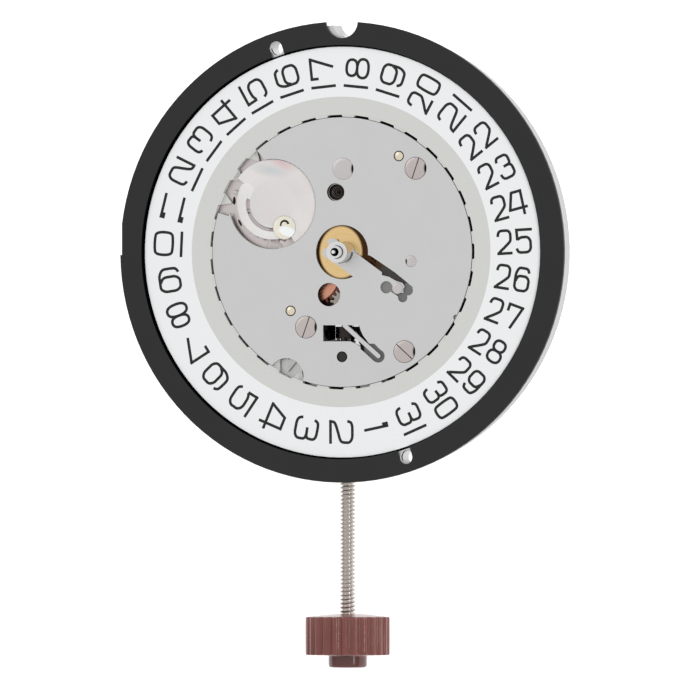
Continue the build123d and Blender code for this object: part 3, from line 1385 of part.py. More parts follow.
def make_keyless_works():
    """Sliding pinion, corrector pinion and wheel, setting lever, yoke and lever spring."""
    bore_width = square_width + 2 * running_gap
    with BuildPart() as sliding_pinion:
        with BuildSketch(Plane.XZ.offset(sliding_start)):
            with Locations((0, stem_level)):
                Circle(sliding_radius)
        extrude(amount=sliding_end - sliding_start)
        with BuildSketch(Plane.XZ.offset(sliding_groove_start)):
            with Locations((0, stem_level)):
                Circle(sliding_radius + overrun)
                Circle(sliding_groove_radius, mode=Mode.SUBTRACT)
        extrude(amount=sliding_groove_end - sliding_groove_start, mode=Mode.SUBTRACT)
        for start in (sliding_start, sliding_end - clutch_tooth_depth):
            with BuildSketch(Plane.XZ.offset(start)):
                with Locations((0, stem_level)):
                    with PolarLocations(sliding_radius, clutch_teeth):
                        Circle(clutch_tooth_depth / 2)
            extrude(amount=clutch_tooth_depth, mode=Mode.SUBTRACT)
        with BuildSketch(Plane.XZ.offset(sliding_start)):
            with Locations((0, stem_level)):
                Rectangle(bore_width, bore_width)
        extrude(amount=sliding_end - sliding_start, mode=Mode.SUBTRACT)
    save(sliding_pinion, "sliding_pinion")

    corrector_module = corrector_radius / (corrector_pinion_teeth / 2 + addendum_share)
    with BuildPart() as corrector_pinion:
        with BuildSketch(Plane.XZ.offset(corrector_start)):
            with Locations((0, stem_level)):
                add(gear_face(corrector_pinion_teeth, corrector_module))
                Rectangle(bore_width, bore_width, mode=Mode.SUBTRACT)
        extrude(amount=corrector_end - corrector_start)
    save(corrector_pinion, "corrector_pinion")

    wheel_module = corrector_wheel_radius / (corrector_wheel_teeth / 2 + addendum_share)
    wheel_top = date_plate_bottom - hour_wheel_play
    with BuildPart() as corrector_wheel:
        with BuildSketch(Plane.XY.offset(wheel_top - corrector_wheel_thickness)):
            with Locations(corrector_place):
                add(gear_face(corrector_wheel_teeth, wheel_module))
        extrude(amount=corrector_wheel_thickness)
        with Locations((*corrector_place, wheel_top)):
            Cylinder(corrector_arbor_radius, date_plate_top - floor_gap - wheel_top, align=on_base)
    save(corrector_wheel, "corrector_wheel")

    with BuildPart() as setting_lever:
        with BuildSketch(Plane.XY.offset(lever_bottom)):
            add(hull_face((lever_pivot, lever_pivot_radius), (lever_tip, lever_tip_radius)))
            with Locations(lever_pivot):
                Circle(lever_post_radius + running_gap, mode=Mode.SUBTRACT)
        extrude(amount=lever_thickness)
        with Locations((*lever_tip, lever_bottom - lever_stud_reach)):
            Cylinder(lever_stud_radius, lever_stud_reach, align=on_base)
    save(setting_lever, "setting_lever")

    with BuildPart() as yoke:
        with BuildSketch(Plane.XY.offset(lever_bottom)):
            add(arm_face(yoke_pivot, yoke_tip, yoke_arm_width))
            with Locations(yoke_pivot):
                Circle(yoke_pivot_radius)
                Circle(lever_post_radius + running_gap, mode=Mode.SUBTRACT)
        extrude(amount=lever_thickness)
        with BuildSketch(Plane.XY.offset(stem_level)):
            with Locations(yoke_tip):
                Rectangle(yoke_prong_width, yoke_prong_length)
        extrude(amount=lever_bottom - stem_level)
    save(yoke, "yoke")

    with BuildPart() as lever_spring:
        with BuildSketch(Plane.XY.offset(lever_bottom)):
            with Locations(spring_root):
                Circle(spring_root_radius)
            add(arm_face(spring_root, spring_tip, spring_width))
            with Locations(spring_root):
                Circle(spring_screw_radius, mode=Mode.SUBTRACT)
        extrude(amount=lever_thickness)
    save(lever_spring, "lever_spring")


make_dial_ring()
make_main_plate()
make_date_plate()
make_date_plate_screws()
make_pins_and_studs()
make_date_jumper()
make_date_ring()
make_motion_work()
make_date_wheel()
make_train()
make_bridge()
make_motor()
make_circuit()
make_battery()
make_stem_and_crown()
make_keyless_works()

# Where the wheels and levers turn, and how far the levers swing
for label, place in (
    ("minute wheel", minute_place), ("setting wheel", setting_place), ("date idler", idler_place),
    ("date wheel", date_wheel_place), ("rotor", rotor_place), ("intermediate wheel", intermediate_place),
    ("third wheel", third_place), ("setting lever", lever_pivot), ("yoke", yoke_pivot),
):
    print(f"{label} axis at {place[0]:.4f}, {place[1]:.4f}")
print(f"setting lever swing {degrees(lever_swing):.3f} degrees, yoke swing {degrees(yoke_swing):.3f} degrees")
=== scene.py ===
"""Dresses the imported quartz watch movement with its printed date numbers, threaded stem, fluted crown and finishes.

All sizes in the classes are millimetres in the frame of the part: the dial rests at Z = 0, the hands turn about
+Z and the stem leaves towards -Y. Meshes are in metres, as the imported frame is.
"""

import logging
import math
from contextlib import contextmanager
from dataclasses import dataclass
from enum import Enum
from typing import Callable, Iterator

import bpy
from mathutils import Matrix, Vector


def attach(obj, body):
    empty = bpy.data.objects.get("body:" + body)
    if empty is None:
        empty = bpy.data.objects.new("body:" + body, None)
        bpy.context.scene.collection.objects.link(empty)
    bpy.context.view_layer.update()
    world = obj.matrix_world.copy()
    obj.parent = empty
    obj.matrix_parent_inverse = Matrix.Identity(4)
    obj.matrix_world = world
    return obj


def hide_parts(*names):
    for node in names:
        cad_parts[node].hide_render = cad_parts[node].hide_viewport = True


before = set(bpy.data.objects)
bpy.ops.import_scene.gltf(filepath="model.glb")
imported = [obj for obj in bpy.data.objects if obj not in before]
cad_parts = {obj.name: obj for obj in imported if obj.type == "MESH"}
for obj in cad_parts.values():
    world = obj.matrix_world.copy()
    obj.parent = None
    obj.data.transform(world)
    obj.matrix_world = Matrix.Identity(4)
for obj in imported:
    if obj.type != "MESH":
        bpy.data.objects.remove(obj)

MM = 0.001
ROUND_SIDES = 64  # of small turned pieces
PLASTIC_IOR = 1.49
SENSOR_WIDTH = 36.0
MERGE = 0.0005  # points nearer than this are one, in millimetres
FINE_MERGE = 0.0002  # the same for pieces with fine edges
FACING = 0.9  # least share of a normal that counts as facing along an axis
ON_STEM = (math.pi / 2, 0.0, 0.0)  # turns +Z towards the stem's outer end
LOG = logging.getLogger("watch_movement")

Colour = tuple[float, float, float, float]
Point = tuple[float, float]
Place = tuple[float, float, float]
Piece = bpy.types.Object
Tree = bpy.types.NodeTree
Node = bpy.types.Node
Socket = bpy.types.NodeSocket


class Body(Enum):
    """The moving groups of the frame that new pieces ride on."""

    MOVEMENT = "movement"
    DATE_RING = "date_ring_body"
    DATE_WHEEL = "date_wheel_body"
    STEM = "stem_body"


class StrokeKind(Enum):
    """How one stroke of a printed number is drawn."""

    STRAIGHT = "straight"
    SLANTED = "slanted"
    CURVED = "curved"
    LOOP = "loop"


def linear(hex_colour: str) -> Colour:
    """Turns an sRGB hex colour into linear light.

    Args:
        hex_colour: six hex digits, red first.

    Returns:
        Red, green, blue and alpha as Blender's sockets take them.
    """
    channels = [int(hex_colour[i : i + 2], 16) / 255 for i in (0, 2, 4)]
    red, green, blue = (c / 12.92 if c <= 0.04045 else ((c + 0.055) / 1.055) ** 2.4 for c in channels)
    return red, green, blue, 1.0


def add_node(tree: Tree, kind: str, inputs: dict | None = None, **settings: object) -> Node:
    """Adds one shader node with its values and links.

    Args:
        tree: the material's node tree.
        kind: the node's type without its ShaderNode prefix.
        inputs: a value or an output socket for each input, by name or index.
        settings: properties of the node itself.

    Returns:
        The new node.
    """
    node = tree.nodes.new("ShaderNode" + kind)
    for key, value in settings.items():
        setattr(node, key, value)
    for key, value in (inputs or {}).items():
        if isinstance(value, Socket):
            tree.links.new(value, node.inputs[key])
        else:
            node.inputs[key].default_value = value
    return node


@dataclass
class Canvas:
    """The shader that a finish is laid on.

    Attributes:
        tree: the node tree.
        shader: its Principled node.
        where: Object coordinates, in metres.
    """

    tree: Tree
    shader: Node
    where: Socket

    def add(self, kind: str, output: str | int, inputs: dict, **settings: object) -> Socket:
        """Adds a node and gives one of its outputs."""
        return add_node(self.tree, kind, inputs, **settings).outputs[output]

    def give(self, **values: Socket | float) -> None:
        """Links or sets inputs of the shader, whose names are written with underscores for spaces."""
        for name, value in values.items():
            socket = self.shader.inputs[name.replace("_", " ")]
            if isinstance(value, Socket):
                self.tree.links.new(value, socket)
            else:
                socket.default_value = value

    def maths(self, operation: str, first: Socket, second: Socket | float) -> Socket:
        """The result of a Math node of two values."""
        return self.add("Math", 0, {0: first, 1: second}, operation=operation)

    def ramp(self, factor: Socket, colours: tuple[Colour, Colour], ends: Point) -> Socket:
        """Turns a pattern into a run from one colour to another between two of its values."""
        made = add_node(self.tree, "ValToRGB", {"Fac": factor})
        for element, colour, position in zip(made.color_ramp.elements, colours, ends):
            element.color, element.position = colour, position
        return made.outputs["Color"]

    def noise(self, grain: float, detail: float = 3.0, where: Socket | None = None) -> Socket:
        """A cloudy pattern whose grains are so many millimetres wide."""
        return self.add("TexNoise", "Fac", {"Vector": where or self.where, "Scale": 1 / (grain * MM), "Detail": detail})

    def bump(self, height: Socket, depth: float) -> None:
        """Lets a pattern from 0 to 1 stand so many millimetres out of the surface."""
        self.give(Normal=self.add("Bump", "Normal", {"Height": height, "Distance": depth * MM, "Strength": 1.0}))

    def from_axis(self, centre: Point) -> Socket:
        """Distance from an upright axis at a centre in millimetres, in metres."""
        shift = (-centre[0] * MM, -centre[1] * MM, 0)
        about = self.add("Mapping", "Vector", {"Vector": self.where, "Location": shift})
        flat = self.add("VectorMath", "Vector", {0: about, 1: (1, 1, 0)}, operation="MULTIPLY")
        return self.add("VectorMath", "Value", {0: flat}, operation="LENGTH")


def polar(radius: float, degrees: float) -> Point:
    """The point at a radius and an angle about the hands' axis."""
    return radius * math.cos(math.radians(degrees)), radius * math.sin(math.radians(degrees))


# Mesh work, done with Blender's operators


def start_clean() -> None:
    """Leaves edit mode and deselects every object."""
    if bpy.context.object and bpy.context.object.mode != "OBJECT":
        bpy.ops.object.mode_set(mode="OBJECT")
    bpy.ops.object.select_all(action="DESELECT")


def make_active(piece: Piece) -> None:
    """Selects one object alone and makes it active."""
    start_clean()
    piece.select_set(True)
    bpy.context.view_layer.objects.active = piece


def select_faces(piece: Piece, test: Callable[[Vector, Vector], bool]) -> None:
    """Selects in edit mode the faces whose centre and normal pass a test.

    Args:
        piece: the object, in edit mode with face selection.
        test: takes a face's centre and normal.
    """
    bpy.ops.mesh.select_all(action="DESELECT")
    bpy.ops.object.mode_set(mode="OBJECT")
    for face in piece.data.polygons:
        face.select = test(face.center, face.normal)
    bpy.ops.object.mode_set(mode="EDIT")


@contextmanager
def editing(piece: Piece, select: str = "") -> Iterator[None]:
    """Opens a piece in edit mode with everything selected, and closes it again.

    Args:
        piece: the object to edit.
        select: VERT or FACE, or nothing to leave the kind of selection.
    """
    make_active(piece)
    bpy.ops.object.mode_set(mode="EDIT")
    if select:
        bpy.ops.mesh.select_mode(type=select)
    bpy.ops.mesh.select_all(action="SELECT")
    yield
    bpy.ops.object.mode_set(mode="OBJECT")


def named(name: str) -> Piece:
    """Names the object that an operator has just made, and its mesh."""
    piece = bpy.context.object
    piece.name = piece.data.name = name
    return piece


def close_shell(piece: Piece, distance: float = MERGE) -> None:
    """Merges points of a mesh nearer than a distance in millimetres and turns its faces outwards."""
    with editing(piece):
        bpy.ops.mesh.remove_doubles(threshold=distance * MM)
        bpy.ops.mesh.normals_make_consistent(inside=False)


def smooth(piece: Piece, degrees: float = 30.0) -> None:
    """Shades a piece smooth apart from edges sharper than an angle."""
    make_active(piece)
    bpy.ops.object.shade_smooth_by_angle(angle=math.radians(degrees))


def settle(piece: Piece) -> None:
    """Puts a piece's place and turn into its mesh, so that the object sits at the origin."""
    make_active(piece)
    bpy.ops.object.transform_apply(location=True, rotation=True, scale=True)


def place_at(piece: Piece, place: Place, turn: Place = (0.0, 0.0, 0.0)) -> None:
    """Turns a piece, moves it to a place in millimetres and settles it there."""
    piece.rotation_euler = turn
    piece.location = (place[0] * MM, place[1] * MM, place[2] * MM)
    settle(piece)


def copy_of(piece: Piece) -> Piece:
    """A copy of a piece, free of what carries it."""
    make_active(piece)
    bpy.ops.object.duplicate()
    made = bpy.context.object
    made.parent = None
    return made


def cut_out(piece: Piece, cutter: Piece, name: str) -> None:
    """Cuts one piece's shape out of another and removes the cutter."""
    cut = piece.modifiers.new(name, "BOOLEAN")
    cut.operation, cut.object = "DIFFERENCE", cutter
    make_active(piece)
    bpy.ops.object.modifier_apply(modifier=cut.name)
    bpy.data.objects.remove(cutter)


def join(name: str, pieces: list[Piece]) -> Piece:
    """Joins meshes into one named object.

    Args:
        name: the joined piece's name.
        pieces: the meshes, which end up in the first one.

    Returns:
        The joined object.
    """
    start_clean()
    for piece in pieces:
        piece.select_set(True)
    bpy.context.view_layer.objects.active = pieces[0]
    bpy.ops.object.join()
    pieces[0].name = pieces[0].data.name = name
    return pieces[0]


def screwed(name: str, profile: list[Point], pitch: float, turns: int, sides: int) -> Piece:
    """Screws a short profile round +Z, as a thread or a winding.

    Args:
        name: the piece's name.
        profile: radius and height of each point over one pitch, in millimetres.
        pitch: how far the profile climbs in a turn.
        turns: how many turns there are.
        sides: the number of sides of a turn.

    Returns:
        The open screw, whose first turn starts at height 0.
    """
    start_clean()
    bpy.ops.mesh.primitive_plane_add(size=pitch * MM, location=(0, 0, 0))
    piece = named(name)
    with editing(piece, "VERT"):
        bpy.ops.mesh.merge(type="CENTER")
        bpy.ops.transform.translate(value=(profile[0][0] * MM, 0, profile[0][1] * MM))
        for (radius, height), (next_radius, next_height) in zip(profile, profile[1:]):
            step = ((next_radius - radius) * MM, 0, (next_height - height) * MM)
            bpy.ops.mesh.extrude_vertices_move(TRANSFORM_OT_translate={"value": step})
    screw = piece.modifiers.new("screw", "SCREW")
    screw.axis, screw.screw_offset, screw.angle = "Z", pitch * MM, 2 * math.pi
    screw.iterations, screw.steps, screw.render_steps = turns, sides, sides
    screw.use_merge_vertices, screw.merge_threshold = True, MERGE * MM
    bpy.ops.object.modifier_apply(modifier=screw.name)
    return piece


def cut_square(piece: Piece, height: float, above: bool) -> None:
    """Cuts a piece square across +Z and closes the cut.

    Args:
        piece: the object to cut.
        height: where the cut is, in millimetres.
        above: whether what is above the cut is taken off.
    """
    with editing(piece):
        bpy.ops.mesh.bisect(
            plane_co=(0, 0, height * MM), plane_no=(0, 0, 1), use_fill=True, clear_outer=above, clear_inner=not above,
        )


def trim_screw(piece: Piece, pitch: float, length: float, distance: float) -> None:
    """Closes a screwed piece and cuts it square to a length, one and a half turns from its start.

    Args:
        piece: the screwed piece.
        pitch: height of a turn.
        length: how long it stays.
        distance: how near two points are merged.
    """
    close_shell(piece, distance)
    cut_square(piece, 1.5 * pitch, above=False)
    cut_square(piece, 1.5 * pitch + length, above=True)
    close_shell(piece, distance)


def turned(name: str, rings: list[Point], segments: int, place: Place) -> Piece:
    """Turns a solid from rings, as on a lathe: a circle is extruded and resized ring by ring.

    Args:
        name: the piece's name.
        rings: radius and height of each ring from one end to the other, in millimetres.
        segments: the number of sides.
        place: where height 0 of the axis is, in millimetres.

    Returns:
        The closed solid, settled in its place.
    """
    start_clean()
    radius, height = rings[0]
    bpy.ops.mesh.primitive_circle_add(
        vertices=segments, radius=radius * MM, fill_type="NGON", location=(0, 0, height * MM),
    )
    piece = named(name)
    settle(piece)
    with editing(piece, "FACE"):
        for (radius, height), (next_radius, next_height) in zip(rings, rings[1:]):
            step = (0, 0, (next_height - height) * MM)
            bpy.ops.mesh.extrude_region_move(TRANSFORM_OT_translate={"value": step})
            share = next_radius / radius
            bpy.ops.transform.resize(value=(share, share, 1), center_override=(0, 0, next_height * MM))
    close_shell(piece)
    piece.location = Vector(place) * MM
    settle(piece)
    return piece


def as_mesh(curve_piece: Piece, name: str) -> Piece:
    """Makes a curve object a mesh and names it."""
    make_active(curve_piece)
    bpy.ops.object.convert(target="MESH")
    return named(name)


def thicken_and_round(piece: Piece, height: float, edge: float, test: Callable[[Vector, Vector], bool]) -> None:
    """Extrudes what is selected along +Z and rounds the edges of some faces.

    Args:
        piece: the object, in edit mode with its flat outline selected.
        height: how thick it gets, in millimetres.
        edge: size of the rounded edges, in millimetres.
        test: takes a face's centre and normal, and says whether its edges are rounded.
    """
    bpy.ops.mesh.extrude_region_move(TRANSFORM_OT_translate={"value": (0, 0, height * MM)})
    bpy.ops.mesh.select_all(action="SELECT")
    bpy.ops.mesh.normals_make_consistent(inside=False)
    select_faces(piece, test)
    bpy.ops.mesh.bevel(offset=edge * MM, segments=2, affect="EDGES")


def flat_piece(name: str, outline: list[Point], bottom: float, top: float, edge: float) -> Piece:
    """Fills an outline, gives it a thickness and rounds its upper edge.

    Args:
        name: the piece's name.
        outline: the outline's points in millimetres, in order.
        bottom: height of its underside.
        top: height of its top.
        edge: size of the rounded upper edge.

    Returns:
        The closed solid.
    """
    start_clean()
    curve = bpy.data.curves.new(name, "CURVE")
    curve.dimensions, curve.fill_mode = "2D", "BOTH"
    spline = curve.splines.new("POLY")
    spline.points.add(len(outline) - 1)
    for made, (x, y) in zip(spline.points, outline):
        made.co = (x * MM, y * MM, 0.0, 1.0)
    spline.use_cyclic_u = True
    piece = bpy.data.objects.new(name, curve)
    bpy.context.collection.objects.link(piece)
    piece = as_mesh(piece, name)
    place_at(piece, (0, 0, bottom))
    with editing(piece, "FACE"):
        bpy.ops.mesh.remove_doubles(threshold=MERGE * MM)
        bpy.ops.mesh.dissolve_limited(angle_limit=math.radians(0.5))
        bpy.ops.mesh.select_all(action="SELECT")
        thicken_and_round(piece, top - bottom, edge, lambda centre, normal: normal.z > FACING)
    close_shell(piece, FINE_MERGE)
    return piece


def arc(centre: Point, start: Point, end: Point, steps: int) -> list[Point]:
    """Points of an arc or spiral: each end is a radius and an angle in degrees about the centre."""
    points = []
    for step in range(steps + 1):
        share = step / steps
        x, y = polar(start[0] + (end[0] - start[0]) * share, start[1] + (end[1] - start[1]) * share)
        points.append((centre[0] + x, centre[1] + y))
    return points


def dress(piece: Piece, finish: "Finish", body: Body) -> Piece:
    """Gives a new piece its material and its body."""
    piece.data.materials.clear()
    piece.data.materials.append(finish.material())
    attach(piece, body.value)
    LOG.info("%s: %d faces on %s", piece.name, len(piece.data.polygons), body.value)
    return piece


# Finishes


@dataclass(frozen=True)
class Shade:
    """An oval place on a piece where its surface has another colour: most are painted shade, painted shadow or painted
    light, a few are a tone of the piece's own.

    Attributes:
        colour: sRGB hex colour there.
        centre: the oval's middle, in millimetres.
        reach: half its length and half its width.
        turn: direction of its length in degrees.
        levels: heights between which it shows.
        soft: share of its reach over which it fades out.
        outside: whether the tone is outside the oval in place of inside.
        deep: whether the place is a painted shadow in a deep gap, which has its gloss taken away too.
    """

    colour: str
    centre: Point = (0.0, 0.0)
    reach: Point = (1.0, 1.0)
    turn: float = 0.0
    levels: Point = (-9.0, 9.0)
    soft: float = 0.1
    outside: bool = False
    deep: bool = False

    def apply(self, on: Canvas) -> None:
        """Lays the tone over what the shader's colour is so far."""
        fit = {
            "Vector": on.where, "Location": (self.centre[0] * MM, self.centre[1] * MM, 0),
            "Rotation": (0, 0, math.radians(self.turn)), "Scale": (self.reach[0] * MM, self.reach[1] * MM, 1000),
        }
        oval = on.add("Mapping", "Vector", fit, vector_type="TEXTURE")
        near = on.add("TexGradient", "Fac", {"Vector": oval}, gradient_type="SPHERICAL")
        ends = {"To Min": 1.0, "To Max": 0.0} if self.outside else {}
        inside = on.add("MapRange", "Result", {"Value": near, "From Max": self.soft, **ends})
        height = on.add("SeparateXYZ", "Z", {"Vector": on.where})
        above = on.maths("GREATER_THAN", height, self.levels[0] * MM)
        below = on.maths("LESS_THAN", height, self.levels[1] * MM)
        share = on.maths("MULTIPLY", inside, on.maths("MULTIPLY", above, below))
        metal = on.shader.inputs["Metallic"].default_value
        for name in ("Base Color", "Specular Tint") if metal else ("Base Color",):
            toned = on.shader.inputs[name]
            so_far = toned.links[0].from_socket if toned.links else (1, 1, 1, 1)
            mixed = on.add("Mix", 2, {0: share, 6: so_far, 7: linear(self.colour)}, data_type="RGBA")
            on.tree.links.new(mixed, toned)
        # Painted shadow: the gloss is taken away where the painted shade of a deep gap lies.
        if self.deep:
            on.give(Specular_IOR_Level=on.add("MapRange", "Result", {"Value": share, "To Min": 0.5, "To Max": 0.0}))


@dataclass(frozen=True)
class Finish:
    """A surface: the material, how it was made, and its colour.

    Attributes:
        name: the material's name, for the stuff and how its surface was made.
        colour: sRGB hex colour.
        roughness: how dull the surface is.
        shades: places where it has another colour, most of them painted shade or painted light.
    """

    name: str
    colour: str
    roughness: float = 0.4
    shades: tuple[Shade, ...] = ()

    def material(self) -> bpy.types.Material:
        """Builds the material once, and gives the same one back after that."""
        known = bpy.data.materials.get(self.name)
        if known:
            return known
        made = bpy.data.materials.new(self.name)
        made.use_nodes = True
        tree = made.node_tree
        tree.nodes.clear()
        shader = add_node(tree, "BsdfPrincipled", {"Base Color": linear(self.colour), "Roughness": self.roughness})
        add_node(tree, "OutputMaterial", {"Surface": shader.outputs["BSDF"]})
        on = Canvas(tree, shader, add_node(tree, "TexCoord").outputs["Object"])
        self.dress_shader(on)
        for shade in self.shades:
            shade.apply(on)
        return made

    def dress_shader(self, on: Canvas) -> None:
        """Adds what this finish shows; each kind of finish has its own."""
        raise NotImplementedError

    def tone(self, on: Canvas, factor: Socket, swing: float, colour: str = "") -> Socket:
        """A colour made darker and lighter by a pattern.

        Args:
            on: what the finish is laid on.
            factor: a pattern from 0 to 1.
            swing: how far the tone goes each way, as a share.
            colour: sRGB hex colour, or none for the finish's own.

        Returns:
            A colour socket.
        """
        red, green, blue, _ = linear(colour or self.colour)
        low = tuple(c * (1 - swing) for c in (red, green, blue)) + (1.0,)
        high = tuple(min(c * (1 + swing), 1.0) for c in (red, green, blue)) + (1.0,)
        return on.ramp(factor, (low, high), (0.3, 0.7))

    def vary(self, on: Canvas, pattern: Socket, tones: float, dulls: float, depth: float) -> None:
        """Lets one pattern vary the colour, the roughness and the height.

        Args:
            on: what the finish is laid on.
            pattern: a pattern from 0 to 1.
            tones: how far the colour goes each way, as a share.
            dulls: how far the roughness goes each way.
            depth: how far the pattern stands out, in millimetres.
        """
        on.give(Base_Color=self.tone(on, pattern, tones))
        self.spread(on, pattern, dulls)
        on.bump(pattern, depth)

    def spread(self, on: Canvas, factor: Socket, swing: float) -> None:
        """Varies the shader's roughness by a pattern from 0 to 1."""
        low, high = self.roughness - swing, self.roughness + swing
        on.give(Roughness=on.add("MapRange", "Result", {"Value": factor, "To Min": low, "To Max": high}))


@dataclass(frozen=True)
class MouldedPlastic(Finish):
    """Moulded plastic with faint flow clouds and the fine grain of its mould.

    Attributes:
        grain: size of the mould's grain in millimetres.
        depth: height of that grain in millimetres.
        clouding: how far the tone varies, as a share.
        subsurface: how much light goes into it.
    """

    grain: float = 0.06
    depth: float = 0.0015
    clouding: float = 0.06
    subsurface: float = 0.0

    def dress_shader(self, on: Canvas) -> None:
        """Clouds in the colour, grain in the roughness and height."""
        fine = on.noise(self.grain)
        on.give(IOR=PLASTIC_IOR, Base_Color=self.tone(on, on.noise(2.5, 2.0), self.clouding))
        self.spread(on, fine, 0.05)
        if self.subsurface:
            on.give(Subsurface_Weight=self.subsurface, Subsurface_Scale=0.3 * MM)
        on.bump(fine, self.depth)


@dataclass(frozen=True)
class PlatedMetal(Finish):
    """Metal with a plated or tumbled skin: even, with a fine grain and a few small marks.

    Attributes:
        grain: size of the skin's grain in millimetres.
        depth: height of that grain in millimetres.
        clouding: how far the tone varies, as a share.
    """

    grain: float = 0.05
    depth: float = 0.0012
    clouding: float = 0.05

    def dress_shader(self, on: Canvas) -> None:
        """Wide clouds and fine grain in tone, roughness and height."""
        fine = on.noise(self.grain)
        half = on.maths("MULTIPLY", on.maths("ADD", on.noise(1.8), fine), 0.5)
        on.give(Metallic=1.0, Base_Color=self.tone(on, half, self.clouding))
        self.spread(on, fine, 0.06)
        on.bump(fine, self.depth)


@dataclass(frozen=True)
class TurnedMetal(Finish):
    """Metal faced on a lathe: fine rings about an axis.

    Attributes:
        centre: where the axis crosses the dial's plane, in millimetres.
        pitch: distance between the tool's rings in millimetres.
        depth: height of the rings in millimetres.
        swing: how far the tone varies from ring to ring, as a share.
    """

    centre: Point = (0.0, 0.0)
    pitch: float = 0.08
    depth: float = 0.0012
    swing: float = 0.08

    def dress_shader(self, on: Canvas) -> None:
        """Rings in tone, roughness and height, broken up a little."""
        on.give(Metallic=1.0)
        lathe = {"W": on.from_axis(self.centre), "Scale": 1 / (self.pitch * MM), "Detail": 2.0}
        self.vary(on, on.add("TexNoise", "Fac", lathe, noise_dimensions="1D"), self.swing, 0.08, self.depth)


@dataclass(frozen=True)
class GrainedSteel(Finish):
    """Rolled or stamped steel whose grain runs one way.

    Attributes:
        turn: the grain's direction in degrees about +Z.
        grain: the grain's width in millimetres.
        depth: its height in millimetres.
    """

    turn: float = 0.0
    grain: float = 0.04
    depth: float = 0.0012

    def dress_shader(self, on: Canvas) -> None:
        """Long streaks in tone, roughness and height."""
        on.give(Metallic=1.0)
        rolled = {"Vector": on.where, "Rotation": (0, 0, math.radians(self.turn)), "Scale": (0.06, 1, 1)}
        self.vary(on, on.noise(self.grain, where=on.add("Mapping", "Vector", rolled)), 0.08, 0.07, self.depth)


@dataclass(frozen=True)
class PrintedRing(Finish):
    """White plastic printed white outside a circle and silver grey inside it.

    Attributes:
        inner_colour: sRGB hex colour inside the circle.
        edge: the circle's radius in millimetres.
        centre: the print's centre, a little off the ring's own.
    """

    inner_colour: str = "D5D5D2"
    edge: float = 8.754
    centre: Point = (-0.07, 0.01)

    def dress_shader(self, on: Canvas) -> None:
        """Two inks by radius, each with a faint grain."""
        outside = on.maths("GREATER_THAN", on.from_axis(self.centre), self.edge * MM)
        fine = on.noise(0.05)
        inks = {0: outside, 6: self.tone(on, fine, 0.03, self.inner_colour), 7: self.tone(on, fine, 0.015)}
        on.give(IOR=PLASTIC_IOR, Base_Color=on.add("Mix", 2, inks, data_type="RGBA"))
        self.spread(on, fine, 0.05)
        on.bump(fine, 0.0008)


@dataclass(frozen=True)
class SolderMask(Finish):
    """A circuit board's lacquer over copper tracks, which show as a lighter net.

    Attributes:
        track: distance between tracks in millimetres.
    """

    track: float = 0.7

    def dress_shader(self, on: Canvas) -> None:
        """Tracks in tone and height, weave of the board below."""
        net = {"Vector": on.where, "Scale": 1 / (self.track * MM)}
        cells = on.add("TexVoronoi", "Distance", net, feature="DISTANCE_TO_EDGE", distance="EUCLIDEAN")
        tracks = on.add("MapRange", "Result", {"Value": cells, "From Min": 0.06, "From Max": 0.1})
        on.give(IOR=1.55, Base_Color=self.tone(on, tracks, 0.25))
        self.spread(on, on.noise(0.1), 0.05)
        on.bump(tracks, 0.01)


# Where the wheels and the battery stand, and the heights between which a tone shows
ROTOR_PLACE: Point = (-0.3695, 3.3807)
MINUTE_PLACE: Point = (-1.8924, -1.2717)
MINUTE_HOLE: Point = (-0.762, -2.40)
DATE_AXIS: Point = (-4.0831, 2.7162)
BATTERY_PLACE: Point = (6.0, 4.7)
FLOOR: Point = (-0.75, -0.5)
SLOTS: Point = (-1.3, -0.3)
DEEP_SLOTS: Point = (-2.1, -0.3)
HOLES: Point = (-0.4, -0.105)
EVERYWHERE: Point = (20.0, 20.0)

# Painted shade and painted light on the main plate, by place: what shows through the date plate's openings lies deep
# in shadow, so its gaps, slots, pockets and holes are painted dark, with small painted shadows beside the date finger;
# the floor round the date wheel, the jumper's notch and the bottom of the ring's gap are painted in lighter tones than
# the dark band, and the rim's side wall is painted a lighter grey
PLATE_PAINTED_SHADE_AND_LIGHT = (
    Shade("141212", (0, 0), (7.42, 7.42), levels=FLOOR, soft=0.01, outside=True),
    Shade("A9A9A8", (0.6, -7.6), (2.9, 0.55), levels=FLOOR),
    Shade("C4C4C2", (-3.6, -6.7), (1.3, 1.3), levels=FLOOR),
    Shade("D2CAC8", DATE_AXIS, (3.4, 3.4), levels=FLOOR, soft=0.05),
    Shade("4A3424", (1.75, -0.55), (1.35, 0.75), turn=-33, levels=SLOTS, soft=0.3),
    Shade("4A4745", (3.15, -1.45), (1.25, 0.62), turn=-35, levels=SLOTS, soft=0.2),
    Shade("8A8A8A", (2.62, -2.0), (0.5, 0.5), levels=SLOTS),
    Shade("7A7A7A", (3.85, -2.2), (0.45, 0.5), levels=SLOTS),
    Shade("7A7A7A", (3.5, -2.6), (0.45, 0.4), levels=SLOTS),
    Shade("1A1516", (0.3, -4.7), (1.9, 1.2), turn=-30, levels=DEEP_SLOTS),
    Shade("6C6C6C", (2.05, -5.75), (1.0, 0.62), turn=-42, levels=DEEP_SLOTS),
    Shade("33241F", MINUTE_HOLE, (0.95, 0.95), levels=SLOTS),
    Shade("30231E", ROTOR_PLACE, (0.8, 0.8), levels=(-1.3, -0.325)),
    Shade("D0D0D0", (0, 0), (12.3, 12.3), levels=(-2.1, -0.1), soft=0.01, outside=True),
    Shade("2A2422", (-6.47, 2.91), (0.09, 0.24), levels=FLOOR),
    Shade("3A3230", (-6.13, 1.66), (0.07, 0.22), turn=28, levels=FLOOR),
    Shade("A9A2A1", (-6.45, 1.35), (0.30, 1.1), turn=38, levels=FLOOR, soft=0.8),
)
